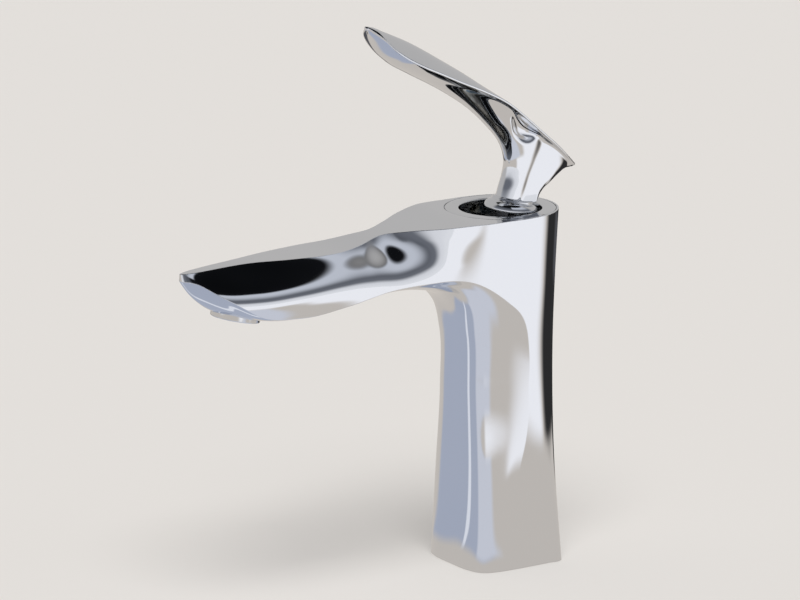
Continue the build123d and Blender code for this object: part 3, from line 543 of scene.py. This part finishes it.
# Lever. One zinc casting, chrome-plated: a leaf with a thin edge, a round neck that flows out of its
# underside, and a fin behind the neck. A hollow on each side thins it where the neck meets the leaf. A
# screw holds it on the spindle, under a small plug. Its form is a distance that the mesh settles on.
lever_rise = 0.076  # the leaf's tip above the body's top
lever_front = 0.0593
lever_rear = 0.033
lever_half = 0.0124
lever_rim = 0.001  # thickness of the leaf's edge
rim_bulge = 0.00022  # how far that edge swells out
lever_crown = 0.0071
lever_belly = 0.004
leaf_slope = 0.82  # cosine of the leaf's slope
leaf_overhang = 1.4  # the leaf's form goes on this far past its half width
least_half = 0.002
stem_half = 0.0053
fin_half = 0.0042
fin_slope = 0.75  # cosine of the slope of the fin's rear
fin_round = 0.0036  # rounding of the fin's rear corners
fin_flare = 0.001  # the fin widens by this much towards its foot
fin_flare_height = 0.01
scoop_radius = 0.0095
scoop_side = stem_half + 0.79 * scoop_radius
scoop_fillet = 0.0012
neck_fillet = 0.006  # where the neck flows into the leaf
fin_fillet = 0.0024  # where the fin meets the leaf
least_fillet = 0.06  # share of them that is left at the leaf's edge
groove_fillet = 0.001  # between the neck and the fin
fillet_y = (-0.03, 0.0, 0.02, 0.04)

# The leaf from its tip to its rear end: shares of the front or rear length, and of rise, half width,
# crown and belly
leaf_front = (
    (1.0, 0.978, 0.08, 0.05, 0.1), (0.953, 0.937, 0.56, 0.38, 0.4), (0.902, 0.889, 0.78, 0.7, 0.7),
    (0.835, 0.847, 0.91, 0.9, 0.85), (0.708, 0.791, 1.0, 1.0, 0.93), (0.59, 0.749, 0.99, 0.9, 1.0),
    (0.455, 0.7, 0.95, 0.75, 0.95), (0.32, 0.654, 0.9, 0.55, 1.0), (0.212, 0.616, 0.85, 0.35, 1.0),
    (0.054, 0.55, 0.8, 0.14, 0.9))
leaf_rear = (
    (0.203, 0.45, 0.73, 0.06, 0.6), (0.439, 0.366, 0.64, 0.05, 0.35), (0.673, 0.287, 0.5, 0.05, 0.2),
    (0.848, 0.222, 0.35, 0.04, 0.15), (1.0, 0.167, 0.15, 0.03, 0.1))
leaf_y = [-lever_front * row[0] for row in leaf_front] + [lever_rear * row[0] for row in leaf_rear]
leaf_sizes = (lever_rise, lever_half, lever_crown, lever_belly)
leaf_values = np.array([row[1:] for row in leaf_front + leaf_rear]) * leaf_sizes + (body_height, 0, 0, 0)
leaf_rows = np.column_stack([leaf_y, leaf_values])

# The neck: height, front, rear and half width. The fin: how low its rear reaches, and its half width,
# each along the lever. The hollow: where its middle starts and ends, seen from the side.
neck_rows = np.array((
    (-0.02, -0.085, 0.21, 0.98), (0.092, -0.01, 0.31, 0.97), (0.158, 0.04, 0.37, 0.95),
    (0.23, 0.062, 0.46, 0.98), (0.328, -0.015, 0.57, 1.12), (0.442, -0.24, 0.48, 1.38),
    (0.552, -0.5, 0.27, 1.62), (0.637, -0.76, 0.0, 1.8), (0.72, -1.02, -0.3, 1.95)))
neck_rows = neck_rows * (lever_rise, lever_rear, lever_rear, stem_half) + (body_height, 0, 0, 0)
fin_back = np.array((
    (0.25, -0.3), (0.36, -0.08), (0.43, 0.006), (0.521, 0.062), (0.611, 0.089), (0.723, 0.121),
    (0.88, 0.147), (0.985, 0.146), (1.06, 0.138))) * (lever_rear, lever_rise) + (0, body_height)
fin_widths = np.array((
    (0.15, 1.0), (0.45, 1.0), (0.68, 1.0), (0.78, 0.84), (0.88, 0.55), (1.02, 0.14))) * (lever_rear, fin_half)
scoop_ends = np.array(((0.24, 0.47), (0.25, 0.412))) * (lever_rear, lever_rise) + (0, body_height)


def along_rows(rows, at):
    """The columns of a table as smooth curves over its first column, which stop at its ends."""
    return through(rows[:, 0], rows[:, 1:], np.clip(at, rows[0, 0], rows[-1, 0])).T


def nearer(a, b, fillet):
    """The lesser of two distances, rounded where they are equal."""
    share = np.clip(0.5 + 0.5 * (b - a) / fillet, 0, 1)
    return b + (a - b) * share - fillet * share * (1 - share)


def farther(a, b, fillet):
    """The greater of two distances, rounded where they are equal."""
    return -nearer(-a, -b, fillet)


def outside_lever(points):
    """How far each point is outside the leaf's underside, the neck and the fin; less than 0 inside."""
    x, y, z = abs(points[:, 0]), points[:, 1], points[:, 2]
    edge, half, _, belly = along_rows(leaf_rows, y)
    share = np.clip(x / np.maximum(half, least_half), 0, leaf_overhang) ** 2
    leaf = (edge - lever_rim / 2 - belly * (1 - share) - z) * leaf_slope
    front, rear, wide = along_rows(neck_rows, z)
    middle, reach = (front + rear) / 2, (rear - front) / 2
    neck = (np.hypot(x / wide, (y - middle) / reach) - 1) * np.minimum(wide, reach)
    flare = np.clip(1 - (z - body_height) / fin_flare_height, 0, 1) ** 2
    width = along_rows(fin_widths, y)[0] + fin_flare * flare
    low = along_rows(fin_back, y)[0]
    fin = np.maximum(farther(x - width, (low - z) * fin_slope, fin_round), middle - y)
    (start_y, start_z), run = scoop_ends[0], scoop_ends[1] - scoop_ends[0]
    along = np.clip(((y - start_y) * run[0] + (z - start_z) * run[1]) / (run @ run), 0, 1)
    scoop = np.sqrt((x - scoop_side) ** 2 + (y - start_y - along * run[0]) ** 2
                    + (z - start_z - along * run[1]) ** 2) - scoop_radius
    stem = farther(nearer(neck, fin, groove_fillet), -scoop, scoop_fillet)
    fillet = through(fillet_y, (neck_fillet, neck_fillet, fin_fillet, fin_fillet), y)
    return nearer(stem, leaf, fillet * np.clip(1 - share, least_fillet, 1))


def settle(grid, rounds, small=0.00005, least_steep=0.15, longest=0.003):
    """Moves the points of a grid onto the lever's surface."""
    points = grid.reshape(-1, 3).copy()
    for _ in range(rounds):
        slope = np.stack([(outside_lever(points + small * axis) - outside_lever(points - small * axis))
                          / (2 * small) for axis in np.eye(3)], axis=1)
        steep = np.maximum((slope ** 2).sum(1), least_steep)
        points -= np.clip(outside_lever(points) / steep, -longest, longest)[:, None] * slope
    return points.reshape(grid.shape)


def even_out(grid, rounds):
    """Spaces a grid evenly on the surface; its first row, its last row and the middle plane stay."""
    for _ in range(rounds):
        moved = grid.copy()
        moved[1:-1, 1:-1] = 0.5 * grid[1:-1, 1:-1] + 0.125 * (
            grid[:-2, 1:-1] + grid[2:, 1:-1] + grid[1:-1, :-2] + grid[1:-1, 2:])
        for seam in (0, -1):
            moved[1:-1, seam] = 0.5 * grid[1:-1, seam] + 0.25 * (grid[:-2, seam] + grid[2:, seam])
        grid[1:-1] = settle(moved[1:-1], 1)
        grid[:, [0, -1], 0] = 0.0
    return grid


def finer(grid):
    """The grid with a new line between each two."""
    for axis in (0, 1):
        grid = np.moveaxis(grid, axis, 0)
        wider = np.empty((2 * grid.shape[0] - 1,) + grid.shape[1:])
        wider[::2], wider[1::2] = grid, (grid[:-1] + grid[1:]) / 2
        grid = np.moveaxis(wider, 0, axis)
    return grid


# Eleven lines lead from the leaf's edge to the foot: the place on the edge; x, y and height above the
# body at the turn; x and y at the foot
stem_lines = np.array((
    (-0.0603, 0.0, -0.018, 0.04, 0.0, -0.0024), (-0.0572, 0.0024, -0.0172, 0.0402, 0.0026, -0.0017),
    (-0.047, 0.0048, -0.0145, 0.0404, 0.0042, 0.0), (-0.03, 0.0068, -0.01, 0.0395, 0.005, 0.0022),
    (-0.012, 0.0076, -0.0035, 0.0375, 0.005, 0.0042), (0.003, 0.0066, 0.0045, 0.033, 0.0047, 0.0066),
    (0.013, 0.0052, 0.0115, 0.027, 0.0046, 0.0092), (0.022, 0.0044, 0.0186, 0.0205, 0.0045, 0.0116),
    (0.029, 0.0034, 0.0246, 0.015, 0.0033, 0.0136), (0.0325, 0.002, 0.0268, 0.0115, 0.002, 0.0144),
    (0.0331, 0.0, 0.0275, 0.0098, 0.0, 0.0146)))
foot_z = body_height + 0.0012
tip_length = 0.001  # the round at each end of the leaf's outline
tail_y = lever_rear - tip_length
line_count, row_count = 25, 19
smoothing = (60, 40, 20, 8)

tip_y = leaf_y[0]
quarter = np.linspace(0, pi / 2, 9)
outline_y = np.concatenate([
    tip_y - tip_length * np.cos(quarter), np.linspace(tip_y, tail_y, 240)[1:],
    tail_y + tip_length * np.sin(quarter)[1:]])
outline_x = along_rows(leaf_rows, outline_y)[1]
outline_x[:9] = along_rows(leaf_rows, np.array([tip_y]))[1] * np.sin(quarter)
outline_x[-8:] = along_rows(leaf_rows, np.array([tail_y]))[1] * np.cos(quarter)[1:]
outline_run = running_length(np.stack([outline_x, outline_y], 1))
starts = np.interp(stem_lines[:, 0], outline_y, outline_run)


def led_down(count):
    """The eleven lines made into this many: their places on the edge, at the turn and at the foot."""
    place = np.linspace(0, len(stem_lines) - 1, count)
    numbers = np.arange(len(stem_lines))
    run = np.clip(through(numbers, starts, place), 0, outline_run[-1])
    x, y = np.interp(run, outline_run, outline_x), np.interp(run, outline_run, outline_y)
    edge = np.stack([x, y, along_rows(leaf_rows, y)[0] - lever_rim / 2], 1)
    turn = through(numbers, stem_lines[:, 1:4] + (0, 0, body_height), place)
    foot = through(numbers, stem_lines[:, 4:], place)
    return edge, turn, np.column_stack([foot, np.full(count, foot_z)])


edge, turning, foot = led_down(line_count)
share = np.linspace(0, 1, row_count)[:, None, None]
under = np.where(share < 0.5, edge + (turning - edge) * share * 2,
                 turning + (foot - turning) * (share * 2 - 1))
under[1:] = settle(under[1:], 12)
under[-1, :, 2] = foot_z
under[:, [0, -1], 0] = 0.0
for rounds in smoothing:
    under = even_out(under, rounds)
    if rounds != smoothing[-1]:
        under = finer(under)
        under[0] = led_down(under.shape[1])[0]
        under[-1] = settle(under[-1:], 4)[0]
        under[-1, :, 2] = foot_z
        under[:, [0, -1], 0] = 0.0

# The edge row lies on the leaf's outline, and its neighbours lead gently up to it. Above come the edge's
# round wall and the crowned top, in lines across the leaf.
lead_up = 0.0012
lift = under[0] - settle(under[:1], 6)[0]
away = np.linalg.norm(under - under[0], axis=2)
under += lift * np.exp(-(away / lead_up) ** 2)[:, :, None]
under[0] -= lift
edge_row = under[0]
edge_z, _, crown, _ = along_rows(leaf_rows, edge_row[:, 1])
level = 0 * edge_z
wall = [edge_row + np.stack([rim_bulge * cos(a) * np.sign(edge_row[:, 0]), level,
                             lever_rim / 2 * (1 + sin(a)) + level], 1)
        for a in np.radians((-60, -30, 0, 30, 60, 90))]
crosswise = np.cos(np.linspace(0, pi / 2, 33))[1:]
top = [np.stack([edge_row[:, 0] * c, edge_row[:, 1], edge_z + lever_rim / 2 + crown * (1 - c * c)], 1)
       for c in crosswise]
skin = np.concatenate([under[::-1], np.array(wall), np.array(top)])
skin[-1, :, 0] = 0.0
rows, columns = skin.shape[:2]
other = rows * columns
points = np.concatenate([skin.reshape(-1, 3), (skin * (-1, 1, 1)).reshape(-1, 3)])
faces = grid_faces(rows, columns) + [f[::-1] for f in grid_faces(rows, columns, other)]
faces.append(tuple(range(columns)) + tuple(range(other + columns - 2, other, -1)))
lever = mesh_object("lever_casting", points, faces, plate, sharp=50)
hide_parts("lever")
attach(lever, "handle")
dress(trim_plate, "screw_plug")

# Collar. A thin turned brass bell, chrome-plated, that sits on the neck's foot: it covers the middle of
# the ring's hole and swings in it with the lever, on the lever's own tilted axis.
pivot_z = 0.113
lever_tilt = 12.5
lever_frame = Matrix.Translation((0, 0, pivot_z)) @ Matrix.Rotation(radians(-lever_tilt), 4, "X")
collar_radius = 0.0104
collar_bottom = 0.0215
collar_top = 0.0265
collar_wall = 0.0013
collar_lip = 0.0005  # the upright rim at the bell's mouth
foot_radius = 0.0066
foot_gap = 0.0002  # between the bell and the neck's foot
shoulder_radius, shoulder_top = foot_radius + collar_wall, collar_top - collar_wall
bell = [(foot_radius + foot_gap, collar_top, 0.0002), (shoulder_radius, collar_top, 0.0005),
        (shoulder_radius + 0.00012, shoulder_top, 0.0003)]
bell += [(shoulder_radius + (collar_radius - foot_radius - collar_wall) * sin(a) ** 1.1,
          shoulder_top - (collar_top - collar_wall - collar_bottom - collar_lip) * (1 - cos(a)), 0)
         for a in np.radians((25, 40, 55, 68, 79))]
bell += [(collar_radius, collar_bottom, 0.0003), (collar_radius - collar_wall, collar_bottom, 0.0003),
         (foot_radius + foot_gap, collar_top - 2 * collar_wall, 0)]
collar = turned("lever_collar_turned", softened(bell), trim_plate, lever_frame, sharp=50)
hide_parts("lever_collar")
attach(collar, "handle")

# Aerator. It screws into the spout's underside: a plated brass housing with a thin rim, and in it a grey
# moulded insert whose six-sided cells straighten the water. A flat rubber gasket seals it.
aerator_radius = 0.0092
aerator_wall = 0.0013
aerator_ledge = 0.0008
aerator_top = 0.0095
cell_pitch = 0.0016
cell_wall = 0.00028
cell_depth = 0.0016
cells_across = 11
inner_radius = aerator_radius - aerator_wall
mouth_radius = inner_radius - aerator_ledge
housing = turned("aerator_housing_turned", softened((
    (mouth_radius, 0, 0.0002), (aerator_radius, 0, 0.0003), (aerator_radius, aerator_top, 0),
    (inner_radius, aerator_top, 0), (inner_radius, aerator_ledge, 0),
    (mouth_radius, aerator_ledge, 0.0002))), trim_plate, outlet)
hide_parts("aerator_housing")
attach(housing, "tap")
# Dark grey acetal, injection-moulded: satin, so the cells look like dull walls
insert_plastic = moulded("grey_acetal_insert", "#54585e", roughness=0.38)
dress(insert_plastic, "aerator_insert")
dress(rubber, "aerator_gasket")


def cell_tree(material):
    """Six-sided cells inside a round rim: six walls on each point of two grids, one half a pitch on."""
    tree = bpy.data.node_groups.new("straightener_cells", "GeometryNodeTree")
    for name in ("Pitch", "Wall", "Depth", "Radius"):
        tree.interface.new_socket(name, in_out="INPUT", socket_type="NodeSocketFloat")
    tree.interface.new_socket("Count", in_out="INPUT", socket_type="NodeSocketInt")
    tree.interface.new_socket("Geometry", in_out="OUTPUT", socket_type="NodeSocketGeometry")
    given = node(tree, "NodeGroupInput").outputs
    pitch = given["Pitch"]

    def sum_of(operation, a, b):
        return node(tree, "ShaderNodeMath", {0: a, 1: b}, operation=operation).outputs[0]

    row_pitch = sum_of("MULTIPLY", pitch, sqrt(3))
    gaps = sum_of("SUBTRACT", given["Count"], 1)
    span_x, span_y = sum_of("MULTIPLY", pitch, gaps), sum_of("MULTIPLY", row_pitch, gaps)
    half_pitch, half_row = sum_of("MULTIPLY", pitch, 0.5), sum_of("MULTIPLY", row_pitch, 0.5)
    inside = sum_of("SUBTRACT", given["Radius"], half_pitch)
    size = sum_of("DIVIDE", pitch, sqrt(3))
    lattice = node(tree, "GeometryNodeMeshGrid", {
        "Size X": span_x, "Size Y": span_y, "Vertices X": given["Count"], "Vertices Y": given["Count"]})
    shift = node(tree, "ShaderNodeCombineXYZ", {"X": half_pitch, "Y": half_row})
    second = node(tree, "GeometryNodeTransform", {"Geometry": lattice, "Translation": shift})
    places = node(tree, "GeometryNodeJoinGeometry", {0: lattice})
    tree.links.new(second.outputs[0], places.inputs[0])
    where = node(tree, "GeometryNodeInputPosition")
    away = node(tree, "ShaderNodeVectorMath", {0: where}, operation="LENGTH")
    outside = node(tree, "FunctionNodeCompare", {0: away.outputs["Value"], 1: inside},
                   data_type="FLOAT", operation="GREATER_THAN")
    kept = node(tree, "GeometryNodeDeleteGeometry", {"Geometry": places, "Selection": outside})
    hexagon = node(tree, "GeometryNodeCurvePrimitiveCircle", {"Radius": size, "Resolution": 6})
    bar = node(tree, "GeometryNodeCurvePrimitiveQuadrilateral",
               {"Width": given["Wall"], "Height": given["Depth"]})
    walls = node(tree, "GeometryNodeCurveToMesh", {"Curve": hexagon, "Profile Curve": bar})
    cell = node(tree, "GeometryNodeTransform", {"Geometry": walls, "Rotation": (0, 0, radians(30))})
    cells = node(tree, "GeometryNodeInstanceOnPoints", {"Points": kept, "Instance": cell})
    solid = node(tree, "GeometryNodeRealizeInstances", {"Geometry": cells})
    painted = node(tree, "GeometryNodeSetMaterial", {"Geometry": solid, "Material": material})
    node(tree, "NodeGroupOutput", {0: painted})
    return tree


def grown(name, tree, sizes):
    """The plain mesh that a tree makes with these sizes."""
    seed = bpy.data.objects.new(name, bpy.data.meshes.new(name))
    scene.collection.objects.link(seed)
    step = seed.modifiers.new("cells", "NODES")
    step.node_group = tree
    for item in tree.interface.items_tree:
        if item.in_out == "INPUT" and item.name in sizes:
            step[item.identifier] = sizes[item.name]
    made = bpy.data.meshes.new_from_object(seed.evaluated_get(bpy.context.evaluated_depsgraph_get()))
    seed.modifiers.clear()
    seed.data = made
    made.name = name
    return seed


cells = grown("straightener", cell_tree(insert_plastic),
              {"Pitch": cell_pitch, "Wall": cell_wall, "Depth": cell_depth,
               "Radius": inner_radius - aerator_ledge / 2, "Count": cells_across})
cells.data.transform(outlet @ Matrix.Translation((0, 0, aerator_ledge + cell_depth / 2)))
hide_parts("aerator_mesh")
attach(cells, "tap")

# Fixing to the deck. Under the basin, a threaded steel stud carries a horseshoe plate of pressed steel
# with a rubber pad and a brass nut, which pull the body down on its flat foot seal.
dress(rubber, "base_seal", "clamp_rubber")
dress(steel, "mounting_stud", "clamp_plate")
dress(brass, "clamp_nut")

# Stage. A pale floor and soft light. Polished chrome shows only what stands round it, so the floor carries
# painted reflections that only a mirror sees, soft bluish, white and black panels, and the room has a pale
# wall, a softbox and a dark ceiling.
floor_size = 4.0
floor_z = -0.0002  # just under the foot
floor_tone = "#efebe6"
floor_glow = 0.8  # strength of the even tone that is mixed into the floor for the camera
floor_glow_share = 0.4
mirror_share = 0.97  # the part of the floor's reflection that the panels make
far = 9.0  # beyond the floor's edge


def towards(azimuth, elevation):
    """The direction at this azimuth, counted from the spout's side to the right, and elevation."""
    a, e = radians(azimuth), radians(elevation)
    return Vector((sin(a) * cos(e), -cos(a) * cos(e), sin(e)))


def bearing(tree, place):
    """A place's azimuth as a direction in the plan, its height, and its distance from the tap's axis."""
    split = node(tree, "ShaderNodeSeparateXYZ", {0: place})
    flat = node(tree, "ShaderNodeCombineXYZ", {0: split.outputs["X"], 1: split.outputs["Y"]})
    away = node(tree, "ShaderNodeVectorMath", {0: flat}, operation="LENGTH")
    plan = node(tree, "ShaderNodeVectorMath", {0: flat}, operation="NORMALIZE")
    return plan.outputs[0], split.outputs["Z"], away.outputs["Value"]


def panelled(tree, plan, level, under, panels):
    """Lays soft-edged panels over a colour. Each has a middle azimuth, half a width and a fade in degrees;
    a lowest level and the fade below it, a highest and the fade above it; a colour and its strength."""
    for azimuth, half, fade, low, fade_below, high, fade_above, colour, strength in panels:
        aim = node(tree, "ShaderNodeVectorMath", {0: plan, 1: towards(azimuth, 0)}, operation="DOT_PRODUCT")
        across = node(tree, "ShaderNodeMapRange", {
            "Value": aim.outputs["Value"], "From Min": cos(radians(half + fade)),
            "From Max": cos(radians(half))}, interpolation_type="SMOOTHSTEP")
        rise = node(tree, "ShaderNodeMapRange", {
            "Value": level, "From Min": low - fade_below, "From Max": low,
            "To Max": across}, interpolation_type="SMOOTHSTEP")
        cover = node(tree, "ShaderNodeMapRange", {
            "Value": level, "From Min": high, "From Max": high + fade_above,
            "To Min": rise, "To Max": 0.0}, interpolation_type="SMOOTHSTEP")
        laid = node(tree, "ShaderNodeMix", {0: cover, 6: under, 7: srgb(colour, strength)},
                    data_type="RGBA")
        under = laid.outputs[2]
    return under


# Matt background paper, rolled out: an even warm white without shine. Only reflections see it painted over,
# in a greyer paper tone with painted reflection panels whose levels are
# distances from the tap: bluish in front, white on the right, black behind, grey on the left. The white ones
# begin away from the tap, so close to it the reflected floor stays greyer.
floor_material, tree, shader, place = new_material("floor_paper", Roughness=0.9, Base_Color=srgb(floor_tone))
seen = node(tree, "ShaderNodeLightPath").outputs
mirrored = node(tree, "ShaderNodeMath", {0: seen["Is Glossy Ray"], 1: seen["Is Transmission Ray"]},
                operation="MAXIMUM")
plan, _, away = bearing(tree, place)
paper = node(tree, "ShaderNodeRGB")
paper.outputs[0].default_value = srgb("#cfc8c1")
# Painted reflection: the panels that only glossy rays see on the floor, over a greyer paper tone
painted_reflection = panelled(tree, plan, away, paper.outputs[0], (
    (6, 66, 12, 0.06, 0.02, 0.4, 0.02, "#b0b7c9", 1.0),
    (50, 30, 10, 0.06, 0.02, 0.4, 0.02, "#d6d9e4", 1.0),
    (-19, 2, 2, 0.06, 0.02, 0.4, 0.02, "#eceff8", 1.0),
    (128, 16, 15, 0.27, 0.07, far, 0.07, "#fbfbff", 1.08),
    (100, 30, 14, 0.49, 0.13, far, 0.13, "#fbfbff", 1.08),
    (-170, 22, 14, 0.25, 0.05, 0.9, 0.05, "#101114", 1.0),
    (-147, 12, 8, 0.16, 0.05, 0.9, 0.05, "#141519", 1.0),
    (-105, 48, 14, 0.44, 0.04, 0.52, 0.04, "#4a4b50", 1.0)))
even_tone = node(tree, "ShaderNodeEmission", {"Color": srgb(floor_tone), "Strength": floor_glow})
# The painted reflection glows for glossy rays, mostly in place of the lit floor
mirror_light = node(tree, "ShaderNodeEmission", {"Color": painted_reflection, "Strength": 1.0})
lit = shader.outputs[0]
plain = node(tree, "ShaderNodeMixShader", {0: floor_glow_share, 1: lit, 2: even_tone})
in_view = node(tree, "ShaderNodeMixShader", {0: seen["Is Camera Ray"], 1: lit, 2: plain})
in_mirror = node(tree, "ShaderNodeMixShader", {0: mirror_share, 1: lit, 2: mirror_light})
whole = node(tree, "ShaderNodeMixShader", {0: mirrored, 1: in_view, 2: in_mirror})
surface = next(n for n in tree.nodes if n.type == "OUTPUT_MATERIAL")
tree.links.new(whole.outputs[0], surface.inputs["Surface"])
floor_corners = [(x * floor_size, y * floor_size, floor_z) for x, y in ((-1, -1), (1, -1), (1, 1), (-1, 1))]
floor = mesh_object("floor", floor_corners, [(0, 1, 2, 3)], floor_material)

# The room: bright low down, darker upwards, with a pale wall on the left and a softbox high on the right.
# Levels are heights of the direction, from 0 at the horizon to 1 overhead.
world = bpy.data.worlds.new("studio")
scene.world = world
world.use_nodes = True
tree = world.node_tree
tree.nodes.clear()
plan, height, _ = bearing(tree, node(tree, "ShaderNodeTexCoord").outputs["Generated"])
walls = node(tree, "ShaderNodeValToRGB", {"Fac": height})
walls.color_ramp.interpolation = "EASE"
stops = ((0.0, "#f0f1f5"), (0.1, "#e8e9ee"), (0.3, "#6f727a"),
         (0.6, "#55585f"), (0.74, "#17181b"), (1.0, "#0c0d0f"))
for i, (position, colour) in enumerate(stops):
    stop = walls.color_ramp.elements[i] if i < 2 else walls.color_ramp.elements.new(position)
    stop.position, stop.color = position, srgb(colour)
light = panelled(tree, plan, height, walls.outputs["Color"], (
    (-110, 75, 25, -1.0, 0.07, 0.8, 0.07, "#c0bebd", 1.0),
    (113, 42, 6, 0.74, 0.34, 0.79, 0.068, "#ccd0da", 1.0)))
studio = node(tree, "ShaderNodeBackground", {"Color": light, "Strength": 1.0})
node(tree, "ShaderNodeOutputWorld", {"Surface": studio})

# The key light: wide and soft, up on the right. The chrome doesn't show it as a disc.
key_azimuth, key_elevation, key_spread, key_energy = 60, 62, 35, 2.5
key = bpy.data.objects.new("key", bpy.data.lights.new("key", "SUN"))
key.data.angle, key.data.energy = radians(key_spread), key_energy
key.visible_glossy = False
key.rotation_euler = towards(key_azimuth, key_elevation).to_track_quat("Z", "Y").to_euler()
scene.collection.objects.link(key)
scene.view_settings.view_transform = "Standard"

# Camera. A long lens from the right of the spout, a little above the tap, as in the photograph.
camera_azimuth, camera_elevation, camera_distance = 57.0, 14.0, 1.88
middle_right, middle_up = -0.03771, -0.035  # from the top of the column to the picture's middle
back = towards(camera_azimuth, camera_elevation)
angle = radians(camera_azimuth)
right = Vector((cos(angle), sin(angle), 0.0))
up = back.cross(right)
camera = bpy.data.objects.new("camera", bpy.data.cameras.new("camera"))
camera.data.lens, camera.data.sensor_width = 225.0, 36.0
eye = Vector((0, 0, body_height)) + camera_distance * back + middle_right * right + middle_up * up
camera.matrix_world = Matrix.Translation(eye) @ Matrix((right, up, back)).transposed().to_4x4()
scene.collection.objects.link(camera)
scene.camera = camera
